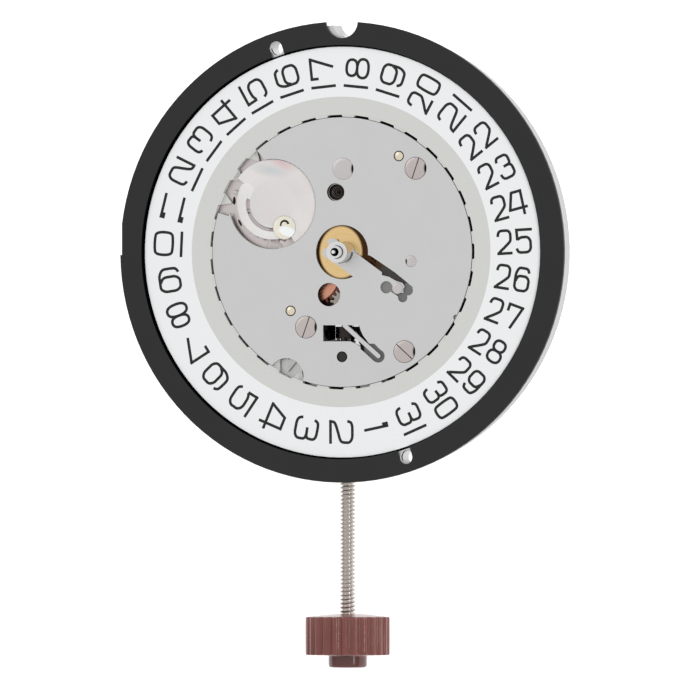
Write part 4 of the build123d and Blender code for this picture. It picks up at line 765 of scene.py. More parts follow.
# Painted shade: the inside of each pipe's bore is painted near black, while its rim keeps the pipe's bright colour
BORE_PAINTED_SHADE = Shade("0A0908", (0, 0), (0.232, 0.232), levels=(-0.5, 1.35), soft=0.02)
# Painted shadow in the gap between the black ring and the date ring, widest on the left, with its gloss taken away
RING_GAP_PAINTED_SHADOW = Shade("040404", (-0.08, 0.0), (11.70, 11.70), soft=0.004, deep=True)
BLACK_RING = MouldedPlastic(
    "black_plastic_moulded_matt", "121212", 0.6, grain=0.08, depth=0.001, clouding=0.1, shades=(RING_GAP_PAINTED_SHADOW,),
)
PLATE = PlatedMetal("brass_nickel_plated_satin", "C6C6C6", 0.32, shades=PLATE_PAINTED_SHADE_AND_LIGHT)
# Painted shade on the date plate's walls round the rotor's hole and the minute wheel's hole
HOLE_WALL_PAINTED_SHADE = (
    Shade("3A2C28", ROTOR_PLACE, (0.65, 0.65), levels=HOLES, soft=0.02),
    Shade("6A5448", MINUTE_HOLE, (0.95, 0.95), levels=HOLES, soft=0.02),
)
DATE_PLATE = PlatedMetal(
    "brass_nickel_plated_fine_matt", "D4D4D4", 0.42, grain=0.06, depth=0.0015, clouding=0.02, shades=HOLE_WALL_PAINTED_SHADE,
)
SCREW_PLACES: tuple[Point, ...] = ((4.310, 4.720), (-2.109, -4.231), (3.657, -5.609))
LARGE_STUD_PLACE: Point = (0.057, 4.696)
SMALL_STUD_PLACE: Point = (4.033, -0.520)


def far_edge(place: Point, side: float, reach: Point) -> Shade:
    """Painted shade on one side of a head's rounded edge, dark as if in shadow."""
    return Shade("241C1B", (place[0] + side, place[1]), reach, levels=(-0.3, 0.0), soft=0.5)


# Steel heads: painted shade in their slots and in the grooves round the heads, and on one side of each screw's and
# stud's rounded edge
SLOT_GROOVE_PAINTED_SHADE = Shade("5A504E", (0, 0), EVERYWHERE, levels=(-3.0, -0.114), soft=0.001)
STUD_GROOVE_PAINTED_SHADE = Shade("A8A3A2", (0, 0), EVERYWHERE, levels=(-3.0, -0.114), soft=0.001)
PIN_GROOVE_PAINTED_SHADE = Shade("4A3A2C", (0, 0), EVERYWHERE, levels=(-3.0, -0.108), soft=0.001)
SCREW_EDGE_PAINTED_SHADE = tuple(far_edge(place, 0.61, (0.15, 0.40)) for place in SCREW_PLACES)
STUD_EDGE_PAINTED_SHADE = (far_edge(LARGE_STUD_PLACE, 0.60, (0.15, 0.40)), far_edge(SMALL_STUD_PLACE, -0.30, (0.11, 0.26)))
SCREW_STEEL = PlatedMetal("steel_turned_and_tumbled", "C8BFBC", 0.28, shades=(SLOT_GROOVE_PAINTED_SHADE, *SCREW_EDGE_PAINTED_SHADE))
PIN_BRASS = PlatedMetal("pale_brass_turned", "EADFC8", 0.25, shades=(PIN_GROOVE_PAINTED_SHADE,))
STUD_STEEL = PlatedMetal("steel_studs_tumbled", "CFCAC9", 0.3, shades=(STUD_GROOVE_PAINTED_SHADE, *STUD_EDGE_PAINTED_SHADE))
BEARING = MouldedPlastic("dark_plastic_moulded_bearing", "3A2A2A", 0.15, grain=0.1, depth=0.0005)
POST_PLASTIC = MouldedPlastic(
    "cream_plastic_moulded", "EFE6D6", 0.25, subsurface=0.1,
    shades=(
        Shade("FFFFFF", (-3.20, 1.16), (0.62, 0.30), turn=-16, soft=0.3),
        # painted shade on the floor of the post's hooked recess
        Shade("2B1A14", (-3.4, 1.4), (3, 3), levels=(-0.2, -0.148), soft=0.001),
    ),
)
NUMBER_INK = MouldedPlastic("black_ink_printed", "0A0A0B", 0.6, grain=0.03, depth=0.0005)
RING_INK = PrintedRing("white_plastic_printed", "F3F4F5", 0.45)
CROWN = MouldedPlastic(
    "reddish_brown_plastic_moulded_gloss", "7A433C", 0.13, grain=0.25, depth=0.002, clouding=0.12, subsurface=0.05,
    shades=(Shade("623A36", (0, -23.3), (1.4, 0.62), soft=0.05),),
)
STEM = TurnedMetal("steel_turned_and_threaded", "B2A9A3", 0.26, pitch=0.05)

NODE_FINISHES: dict[str, Finish] = {
    "dial_ring": BLACK_RING,
    "main_plate": PLATE,
    "date_plate": DATE_PLATE,
    "date_plate_screws": SCREW_STEEL,
    "locating_pins": PIN_BRASS,
    "plate_studs": STUD_STEEL,
    "date_jumper": GrainedSteel("spring_steel_stamped_jumper", "BDBDBE", 0.35, turn=-60),
    "date_ring": RING_INK,
    "date_wheel": MouldedPlastic(
        "white_plastic_moulded_wheel", "E4DFDE", 0.4, subsurface=0.1,
        shades=(
            Shade("E2DDDC", (-4.10, 2.76), (1.36, 1.36), soft=0.15),
            # painted shade: the gear's teeth below the disc are painted darker
            Shade("CFC7C5", DATE_AXIS, (3.5, 3.5), levels=(-0.6, -0.355), soft=0.01),
            # painted reflections: a faint greenish and a faint pinkish patch on the disc's top
            Shade("CDD2D1", (-4.25, 4.62), (1.35, 0.42), turn=-8, soft=0.9),
            Shade("DDC4C5", (-3.50, 4.99), (0.95, 0.38), turn=-24, soft=0.9),
        ),
    ),
    "date_finger": MouldedPlastic(
        "white_plastic_moulded_finger", "E9E6E4", 0.35, subsurface=0.1,
        # painted shade: the finger's lower parts, with its tip, are painted darker
        shades=(Shade("C9C1BF", DATE_AXIS, (3.5, 3.5), levels=(-0.6, -0.32), soft=0.01),),
    ),
    "date_wheel_post": POST_PLASTIC,
    "cannon_pinion": TurnedMetal("steel_polished_minute_pipe", "E4E4E4", 0.2, pitch=0.04, shades=(BORE_PAINTED_SHADE,)),
    "hour_wheel": TurnedMetal(
        "brass_turned_hour_wheel", "EDCB92", 0.2, pitch=0.3, depth=0.0008, swing=0.05,
        shades=(
            # painted shade: dark brown outside an off-centre oval, where the opening's walls shade the wheel
            Shade("432C1A", (-0.14, 0), (1.29, 1.52), soft=0.09, outside=True),
            Shade("E6E6E6", (0, 0), (0.64, 0.64), levels=(-0.379, 2.0), soft=0.02),
            # painted light over the shaded gap between the pipe and the plate's tongue
            Shade("E2E0DC", (0.42, -0.42), (0.75, 0.62), turn=-45, levels=(-0.5, -0.3)),
        ),
    ),
    "minute_wheel": TurnedMetal(
        "copper_alloy_turned", "DA9C82", 0.3, centre=MINUTE_PLACE,
        shades=(Shade("6A4238", MINUTE_PLACE, (1.56, 1.56), soft=0.03, outside=True),),
    ),
    "setting_wheel": TurnedMetal("steel_polished_setting_wheel", "A39A94", 0.25, centre=(0, -2.859)),
    "date_idler": MouldedPlastic("white_plastic_moulded_idler", "DDD3D1", 0.4, subsurface=0.1),
    "rotor_magnet": PlatedMetal("magnet_sintered", "4A4A50", 0.5, grain=0.08, depth=0.004, clouding=0.15),
    "rotor_pinion": TurnedMetal(
        "steel_polished_rotor_pinion", "C8C8CA", 0.25, centre=ROTOR_PLACE,
        # painted shade: the pinion's upper end, seen down the bearing's hole, is painted near black
        shades=(Shade("241A1A", ROTOR_PLACE, (0.5, 0.5), levels=(-1.0, 0.0), soft=0.01),),
    ),
    "intermediate_wheel": TurnedMetal("brass_turned_intermediate", "E2C08A", 0.3, centre=(-0.8438, 1.7691)),
    "seconds_wheel": TurnedMetal(
        "brass_turned_seconds", "E2C08A", 0.3,
        shades=(
            # painted shade: the arbor below its tip is painted near black, so that the hole round it looks dark
            Shade("0A0908", (0, 0), (0.2, 0.2), levels=(-1.2, 1.40), soft=0.01),
            Shade("F2F2F2", (0, 0), (0.2, 0.2), levels=(1.40, 2.0), soft=0.01),
        ),
    ),
    "third_wheel": TurnedMetal("brass_turned_third", "E2C08A", 0.3, centre=(1.7934, -0.8363)),
    "center_wheel": TurnedMetal("brass_turned_center", "E2C08A", 0.3, pitch=0.07, shades=(BORE_PAINTED_SHADE,)),
    "train_bridge": GrainedSteel("brass_nickel_plated_brushed", "C8C8C8", 0.3, turn=62),
    "bridge_screws": PlatedMetal("steel_bridge_screws_tumbled", "C4BDBA", 0.3),
    "jewels": MouldedPlastic("ruby_polished", "9E1030", 0.08, grain=0.3, depth=0.0002, subsurface=0.2),
    "rotor_bearing": BEARING,
    "stator": GrainedSteel("soft_iron_annealed", "A6A4A1", 0.4, turn=70),
    "coil_core": GrainedSteel("soft_iron_core_annealed", "A6A4A1", 0.4, turn=70),
    "coil_ends": MouldedPlastic("dark_plastic_bobbin", "3A3A40", 0.45),
    "coil_screws": PlatedMetal("steel_coil_screws_tumbled", "C4BDBA", 0.3),
    "circuit_board": SolderMask("green_solder_mask", "2F5A40", 0.35),
    "ic_chip": MouldedPlastic("black_resin_cured", "1E1E20", 0.35, grain=0.15, depth=0.003),
    "quartz_crystal": PlatedMetal("steel_can_drawn", "D2D2D4", 0.18, grain=0.12, depth=0.0006),
    "circuit_cover": GrainedSteel("steel_cover_stamped", "C6C6C6", 0.32, turn=0),
    "cover_screws": PlatedMetal("steel_cover_screws_tumbled", "C4BDBA", 0.3),
    "battery": TurnedMetal(
        "battery_steel_drawn", "D4D4D4", 0.24, centre=BATTERY_PLACE, pitch=0.25, depth=0.0008, swing=0.05,
    ),
    "battery_insulator": MouldedPlastic("amber_film_cut", "DCC48A", 0.4),
    "battery_contact": GrainedSteel("contact_strip_gold_flashed", "E0BC6A", 0.25, turn=90),
    "stem": STEM,
    "crown": CROWN,
    # painted shade: the sliding pinion is painted dark, as it lies deep in the key window's shade
    "sliding_pinion": PlatedMetal("steel_sliding_pinion_painted_shade", "3A3432", 0.3, clouding=0.4),
    "corrector_pinion": PlatedMetal("steel_polished_corrector_pinion", "C8C8CA", 0.25),
    "corrector_wheel": TurnedMetal("steel_oiled_corrector_wheel", "3C3C3A", 0.3, centre=(0, -5.9)),
    "setting_lever": GrainedSteel("spring_steel_stamped_lever", "BDBDBE", 0.35, turn=20),
    # painted shade: the yoke is painted darker, as it lies deep in the key window's shade
    "yoke": GrainedSteel("spring_steel_yoke_painted_shade", "6E6A69", 0.35, turn=0),
    "lever_spring": GrainedSteel("spring_steel_stamped_spring", "BDBDBE", 0.35, turn=-20),
    "coil_winding": PlatedMetal("copper_wire_lacquered", "B8703E", 0.25),
}


# Date numbers

Stroke = tuple[StrokeKind, tuple[Point, ...]]
STRAIGHT, SLANTED, CURVED, LOOP = StrokeKind.STRAIGHT, StrokeKind.SLANTED, StrokeKind.CURVED, StrokeKind.LOOP

# Each number's strokes, as shares of its width and height from the lower left corner. A curve's points are
# the control points of a smooth line of order 3.
SIX: tuple[Point, ...] = (
    (0.97, 0.80), (0.90, 0.97), (0.66, 1), (0.48, 1), (0.18, 1), (0, 0.74), (0, 0.47), (0, 0.30), (0, 0.14),
    (0.20, 0), (0.50, 0), (0.80, 0), (1, 0.14), (1, 0.33), (1, 0.50), (0.80, 0.64), (0.52, 0.64), (0.24, 0.64),
    (0.08, 0.52), (0.04, 0.40),
)
GLYPHS: dict[str, tuple[Stroke, ...]] = {
    "0": ((LOOP, ((0, 0.28), (0, 0.72), (0.07, 1), (0.93, 1), (1, 0.72), (1, 0.28), (0.93, 0), (0.07, 0))),),
    "1": ((STRAIGHT, ((0.5, 0), (0.5, 1))),),
    "1 flagged": (
        (STRAIGHT, ((0.5, 0), (0.5, 1))), (STRAIGHT, ((0.5, 1), (0.35, 1))), (STRAIGHT, ((0.35, 1), (0.35, 0.86))),
    ),
    "2": (
        (CURVED, (
            (0, 0.77), (0.02, 0.92), (0.2, 1), (0.5, 1), (0.82, 1), (1.02, 0.88), (1.02, 0.70), (1, 0.50),
            (0.84, 0.42), (0.5, 0.34), (0.08, 0.22), (0, 0.10), (0, 0),
        )),
        (STRAIGHT, ((0, 0), (1, 0))),
    ),
    "2 narrow": (
        (CURVED, (
            (0, 0.74), (0.01, 0.90), (0.2, 1), (0.5, 1), (0.82, 1), (1, 0.88), (1, 0.72), (1, 0.54),
            (0.80, 0.42), (0.45, 0.24), (0.06, 0.06), (0.03, 0),
        )),
        (STRAIGHT, ((0, 0), (1, 0))),
    ),
    "3": (
        (CURVED, (
            (0.05, 0.80), (0.10, 0.95), (0.28, 1), (0.55, 1), (0.82, 1), (0.98, 0.90), (0.98, 0.74), (0.96, 0.56),
            (0.78, 0.54),
        )),
        (SLANTED, ((0.48, 0.53), (0.78, 0.54))),
        (CURVED, (
            (0.62, 0.54), (0.88, 0.54), (1.02, 0.44), (1.02, 0.28), (1.02, 0.12), (0.82, 0), (0.5, 0), (0.2, 0),
            (0.02, 0.10), (0, 0.26),
        )),
    ),
    "4": (
        (SLANTED, ((0.33, 1), (0.80, 1))), (STRAIGHT, ((0.80, 1), (0.80, 0))),
        (SLANTED, ((0.33, 1), (0, 0.26))), (STRAIGHT, ((0, 0.26), (1, 0.26))),
    ),
    "4 narrow": (
        (SLANTED, ((0.30, 1), (0.85, 1))), (STRAIGHT, ((0.85, 1), (0.80, 0))),
        (SLANTED, ((0.30, 1), (0, 0.26))), (STRAIGHT, ((0, 0.26), (1, 0.26))),
    ),
    "5": (
        (STRAIGHT, ((0, 1), (1.05, 1))), (SLANTED, ((0, 1), (0.03, 0.57))),
        (CURVED, (
            (0.06, 0.56), (0.22, 0.66), (0.5, 0.67), (0.80, 0.67), (1, 0.52), (1, 0.34), (1, 0.14), (0.80, 0),
            (0.5, 0), (0.2, 0), (0.02, 0.06), (-0.03, 0.19),
        )),
    ),
    "6": ((CURVED, SIX),),
    "7": ((STRAIGHT, ((0, 0.75), (0, 1))), (STRAIGHT, ((0, 1), (1, 1))), (SLANTED, ((1, 1), (0.54, 0)))),
    "8": (
        (LOOP, (
            (0.07, 0.64), (0.07, 0.88), (0.28, 1.0), (0.72, 1.0), (0.93, 0.88), (0.93, 0.64), (0.72, 0.52),
            (0.28, 0.52),
        )),
        (LOOP, ((0, 0.13), (0, 0.39), (0.25, 0.52), (0.75, 0.52), (1, 0.39), (1, 0.13), (0.75, 0), (0.25, 0))),
    ),
    "9": ((CURVED, tuple((1 - x, 1 - y) for x, y in SIX)),),
}


@dataclass
class DateNumbers:
    """The numbers 1 to 31 printed round the date ring, reading outwards.

    Attributes:
        print_radius: distance of the numbers' middles from the print's centre.
        print_centre: the print's centre, a little off the ring's axis.
        first_angle: angle of the number 25.
        step: angle from a number to the next.
        stroke: width of a stroke.
        height: height of a number, from edge to edge.
        level: height of the ring's top.
        ink: half the ink's thickness, drawn thicker than real ink so that it shows from the side.
    """

    print_radius: float = 10.15
    print_centre: Point = (-0.09, 0.02)
    first_angle: float = 3.19
    step: float = -360 / 31
    stroke: float = 0.16
    height: float = 1.44
    level: float = -0.12
    ink: float = 0.007

    def layout(self, number: int) -> list[tuple[str, float, float]]:
        """Where the digits of a number go.

        Args:
            number: from 1 to 31.

        Returns:
            For each digit its glyph, its middle and its outer width.
        """
        first, second = divmod(number, 10)
        text = str(second)
        if number == 1:
            return [("1 flagged", 0.0, 1.14)]
        if number < 10:
            return [(text, 0.0, 1.60 if second == 4 else 1.34)]
        if number == 11:
            return [("1 flagged", -0.52, 1.14), ("1 flagged", 0.57, 1.14)]
        if first == 1:
            width, middle = {4: (1.43, 0.20), 7: (1.28, 0.24)}.get(second, (1.22, 0.24))
            return [("1", -0.80, 1.0), (text, middle, width)]
        if number == 21:
            return [("2", -0.17, 1.25), ("1", 0.87, 1.0)]
        if number == 30:
            return [("3", -0.50, 0.95), ("0", 0.60, 0.91)]
        if number == 31:
            return [("3", -0.20, 1.13), ("1", 0.80, 1.0)]
        narrow = {2: "2 narrow", 4: "4 narrow"}.get(second, text)
        width, middle = (1.14, 0.53) if second == 4 else (0.95, 0.58)
        return [("2 narrow", -0.55, 0.89), (narrow, middle, width)]

    def on_ring(self, number: int, x: float, y: float) -> Place:
        """Turns a point beside a number's middle into a place on the ring.

        Args:
            number: whose middle it is.
            x: how far outwards.
            y: how far along the ring, counterclockwise.

        Returns:
            The place in metres.
        """
        angle = math.radians(self.first_angle + self.step * (number - 25))
        out, along = self.print_radius + x, y
        return (
            (self.print_centre[0] + out * math.cos(angle) - along * math.sin(angle)) * MM,
            (self.print_centre[1] + out * math.sin(angle) + along * math.cos(angle)) * MM,
            self.level * MM,
        )

    def add_stroke(self, curve: bpy.types.Curve, number: int, kind: StrokeKind, points: list[Point]) -> None:
        """Adds one stroke of a number to the curve.

        Args:
            curve: the curve that holds all the numbers.
            number: the number it belongs to.
            kind: how the stroke is drawn.
            points: its points beside the number's middle.
        """
        if kind in (STRAIGHT, SLANTED):
            (x0, y0), (x1, y1) = points
            longer = self.stroke / 2 if kind is STRAIGHT else self.stroke / 4
            length = math.hypot(x1 - x0, y1 - y0)
            dx, dy = (x1 - x0) / length * longer, (y1 - y0) / length * longer
            points = [(x0 - dx, y0 - dy), (x1 + dx, y1 + dy)]
            spline = curve.splines.new("POLY")
        else:
            spline = curve.splines.new("NURBS")
        spline.points.add(len(points) - 1)
        for made, (x, y) in zip(spline.points, points):
            made.co = (*self.on_ring(number, x, y), 1.0)
        if kind is CURVED:
            spline.order_u, spline.use_endpoint_u = 3, True
        if kind is LOOP:
            spline.order_u, spline.use_cyclic_u = 3, True
        spline.resolution_u = 6

    def build(self) -> Piece:
        """Draws all the strokes, makes them a mesh and presses it flat.

        Returns:
            The printed numbers as one piece.
        """
        start_clean()
        curve = bpy.data.curves.new("date_numbers", "CURVE")
        curve.dimensions, curve.twist_mode = "3D", "Z_UP"
        curve.bevel_depth, curve.bevel_resolution, curve.use_fill_caps = self.stroke / 2 * MM, 2, True
        line_height = self.height - self.stroke
        for number in range(1, 32):
            for glyph, middle, width in self.layout(number):
                line_width = width - self.stroke
                for kind, shares in GLYPHS[glyph]:
                    points = [(middle + (x - 0.5) * line_width, (y - 0.5) * line_height) for x, y in shares]
                    self.add_stroke(curve, number, kind, points)
        piece = bpy.data.objects.new("date_numbers", curve)
        bpy.context.collection.objects.link(piece)
        piece = as_mesh(piece, "date_numbers")
        flat = self.ink / (self.stroke / 2)
        with editing(piece):
            bpy.ops.transform.resize(value=(1, 1, flat), center_override=(0, 0, self.level * MM))
            bpy.ops.transform.translate(value=(0, 0, self.ink / 3 * MM))
            bpy.ops.mesh.normals_make_consistent(inside=False)
        return dress(piece, NUMBER_INK, Body.DATE_RING)


# Stem and crown


@dataclass
class Stem:
    """The setting stem, whose outer end is threaded.

    Attributes:
        axis_level: height of the stem's axis.
        thread_radius: radius of the thread's crests.
        thread_pitch: distance from a crest to the next.
        thread_depth: height of the thread.
        thread_start: distance of the thread's start from the hands' axis.
        thread_end: distance of its end, inside the crown.
        sides: sides of a turn of the thread.
    """

    axis_level: float = -1.28
    thread_radius: float = 0.44
    thread_pitch: float = 0.225
    thread_depth: float = 0.165
    thread_start: float = 12.75
    thread_end: float = 21.88
    sides: int = 28

    def shank(self) -> Piece:
        """Copies the solid stem and cuts off its plain outer end."""
        piece = copy_of(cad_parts["stem"])
        close_shell(piece)
        cut = (0, -(self.thread_start + self.thread_pitch / 4) * MM, 0)
        with editing(piece):
            bpy.ops.mesh.bisect(plane_co=cut, plane_no=(0, -1, 0), clear_outer=True, use_fill=True)
        return piece

    def thread(self) -> Piece:
        """Screws a notch one pitch long along the stem and cuts its ends square."""
        root, crest, pitch = self.thread_radius - self.thread_depth, self.thread_radius, self.thread_pitch
        length = self.thread_end - self.thread_start
        notch = [(root, 0.0), (crest, 0.42 * pitch), (crest, 0.58 * pitch), (root, pitch)]
        piece = screwed("thread", notch, pitch, math.ceil(length / pitch) + 2, self.sides)
        trim_screw(piece, pitch, length, MERGE)
        place_at(piece, (0, 1.5 * pitch - self.thread_start, self.axis_level), ON_STEM)
        return piece

    def build(self) -> Piece:
        """Joins the shank and the thread into the stem that is shown."""
        piece = join("threaded_stem", [self.shank(), self.thread()])
        smooth(piece, 35)
        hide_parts("stem")
        return dress(piece, STEM, Body.STEM)


@dataclass
class Crown:
    """The fluted plastic crown on the stem's end.

    Attributes:
        axis_level: height of the stem's axis.
        start: distance of its inner face's rim from the hands' axis.
        end: distance of its outer face.
        radius: radius over the ribs.
        flutes: number of flutes.
        flute_depth: how deep they are.
        edge: size of its rounded rims.
        dome: how far the inner face rises towards the stem.
        bore: radius of its hole round the thread.
        boss_radius: radius of the boss on its outer face.
        boss_end: distance of the boss's end.
        boss_edge: size of the boss's rounded end.
    """

    axis_level: float = -1.28
    start: float = 20.57
    end: float = 22.73
    radius: float = 2.38
    flutes: int = 25
    flute_depth: float = 0.14
    edge: float = 0.07
    dome: float = 0.17
    bore: float = 0.46
    boss_radius: float = 1.085
    boss_end: float = 23.44
    boss_edge: float = 0.14

    def fluted_body(self) -> Piece:
        """Pulls a circle's points in at each flute, extrudes it and rounds its rims.

        Returns:
            The ribbed body, along +Z from height 0.
        """
        start_clean()
        per_flute = 10
        bpy.ops.mesh.primitive_circle_add(vertices=per_flute * self.flutes, radius=self.radius * MM, fill_type="NGON")
        piece = named("crown_body")
        for places, depth_share in (((0, 4), 0.12), ((5, 9), 0.55), ((6, 8), 0.92), ((7,), 1.0)):
            share = 1 - depth_share * self.flute_depth / self.radius
            bpy.ops.object.mode_set(mode="EDIT")
            bpy.ops.mesh.select_mode(type="VERT")
            bpy.ops.mesh.select_all(action="DESELECT")
            bpy.ops.object.mode_set(mode="OBJECT")
            for point in piece.data.vertices:
                point.select = point.index % per_flute in places
            bpy.ops.object.mode_set(mode="EDIT")
            bpy.ops.transform.resize(value=(share, share, 1), center_override=(0, 0, 0))
        bpy.ops.mesh.select_mode(type="FACE")
        bpy.ops.mesh.select_all(action="SELECT")
        thicken_and_round(piece, self.end - self.start, self.edge, lambda centre, normal: abs(normal.z) > FACING)
        bpy.ops.object.mode_set(mode="OBJECT")
        return piece

    def build(self) -> Piece:
        """Joins the body, the domed face and the boss into the crown that is shown.

        Returns:
            The crown.
        """
        length, boss = self.end - self.start, self.boss_end - self.start
        lap, face = 0.05, 0.93 * self.radius
        face_rings = [
            (face, lap), (face, -0.01), (0.8 * self.radius, -0.3 * self.dome), (0.55 * self.radius, -0.75 * self.dome),
            (0.3 * self.radius, -self.dome), (self.bore, -self.dome), (self.bore, 0.0),
        ]
        radius, edge = self.boss_radius, self.boss_edge
        boss_rings = [
            (radius + 0.05, length - lap), (radius + 0.05, length + 0.01), (radius, length + 0.06),
            (radius, boss - edge), (radius - 0.3 * edge, boss - 0.3 * edge), (radius - edge, boss), (0.3, boss),
            (0.25, boss - 0.03),
        ]
        parts = [
            self.fluted_body(),
            turned("crown_face", face_rings, 96, (0, 0, 0)),
            turned("crown_boss", boss_rings, ROUND_SIDES, (0, 0, 0)),
        ]
        piece = join("fluted_crown", parts)
        place_at(piece, (0, -self.start, self.axis_level), ON_STEM)
        smooth(piece, 40)
        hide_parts("crown")
        return dress(piece, CROWN, Body.STEM)


@dataclass
class CoilWinding:
    """The stepping motor's winding, turn beside turn of lacquered wire.

    Attributes:
        middle: the winding's middle.
        level: height of its axis.
        turn: its direction in degrees about +Z.
        length: its length between the bobbin's ends.
        radius: radius over the wire.
        wire: width of a turn, three times the real wire's so that the turns can be seen.
        sides: sides of a turn.
    """

    middle: Point = polar(7.971, 160.2)
    level: float = -1.90
    turn: float = 70.0
    length: float = 5.4
    radius: float = 0.68
    wire: float = 0.06
    sides: int = 32

    def build(self) -> Piece:
        """Screws half a round of wire along the coil."""
        profile = ((0.45, 0.0), (0.1, 0.22), (0.0, 0.5), (0.1, 0.78), (0.45, 1.0))
        half_round = [(self.radius - down * self.wire, along * self.wire) for down, along in profile]
        piece = screwed("coil_turns", half_round, self.wire, round(self.length / self.wire) + 2, self.sides)
        trim_screw(piece, self.wire, self.length, FINE_MERGE)
        place_at(piece, (0, 0, -(1.5 * self.wire + self.length / 2)))
        place_at(piece, (*self.middle, self.level), (0, math.pi / 2, math.radians(self.turn)))
        smooth(piece, 60)
        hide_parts("coil_winding")
        return dress(piece, NODE_FINISHES["coil_winding"], Body.MOVEMENT)


@dataclass
class Battery:
    """The round cell at the back: a drawn can with a rounded rim, a step and a stamped plus sign.

    Attributes:
        place: its middle.
        can_bottom: height of the can's outer face, at the back.
        top: height of the face inside the movement.
        radius: radius of the can.
        rim: size of the can's rounded rim.
        step_radius: radius where the flat middle starts.
        step: how far the flat middle lies below the rim.
        cap_radius: radius of the cap on the inner face.
        gasket: width of the ring between can and cap.
        plus_size: length of the plus sign's strokes.
        plus_width: their width.
        plus_depth: how deep they are stamped.
    """

    place: Point = BATTERY_PLACE
    can_bottom: float = -2.97
    top: float = -0.97
    radius: float = 4.75
    rim: float = 0.28
    step_radius: float = 4.25
    step: float = 0.03
    cap_radius: float = 4.0
    gasket: float = 0.25
    plus_size: float = 1.5
    plus_width: float = 0.22
    plus_depth: float = 0.04

    def cell(self) -> Piece:
        """Turns the can, its crimped edge, the gasket's groove and the cap."""
        rings = [(0.05, self.can_bottom + self.step), (self.step_radius - 0.06, self.can_bottom + self.step)]
        rings.append((self.step_radius, self.can_bottom))
        for turn in range(0, 91, 15):
            out, up = math.sin(math.radians(turn)), 1 - math.cos(math.radians(turn))
            rings.append((self.radius - self.rim * (1 - out), self.can_bottom + self.rim * up))
        groove = self.cap_radius + self.gasket
        rings += [
            (self.radius, self.top - 0.22), (self.radius - 0.06, self.top - 0.08), (self.radius - 0.2, self.top - 0.02),
            (groove, self.top - 0.02), (groove - 0.04, self.top - 0.1), (self.cap_radius + 0.02, self.top - 0.1),
            (self.cap_radius - 0.02, self.top - 0.06), (self.cap_radius - 0.14, self.top), (0.05, self.top),
        ]
        return turned("round_cell", rings, 128, (*self.place, 0))

    def build(self) -> Piece:
        """Stamps the plus sign into the can's face."""
        piece = self.cell()
        half, thick = self.plus_size / 2, self.plus_width / 2
        x, y = self.place
        corner = [
            (half, -thick), (half, thick), (thick, thick), (thick, half), (-thick, half), (-thick, thick),
            (-half, thick), (-half, -thick), (-thick, -thick), (-thick, -half), (thick, -half), (thick, -thick),
        ]
        face = self.can_bottom + self.step
        cutter = flat_piece("plus", [(x + a, y + b) for a, b in corner], face - 0.1, face + self.plus_depth, 0.005)
        cut_out(piece, cutter, "plus")
        smooth(piece, 32)
        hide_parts("battery")
        return dress(piece, NODE_FINISHES["battery"], Body.MOVEMENT)


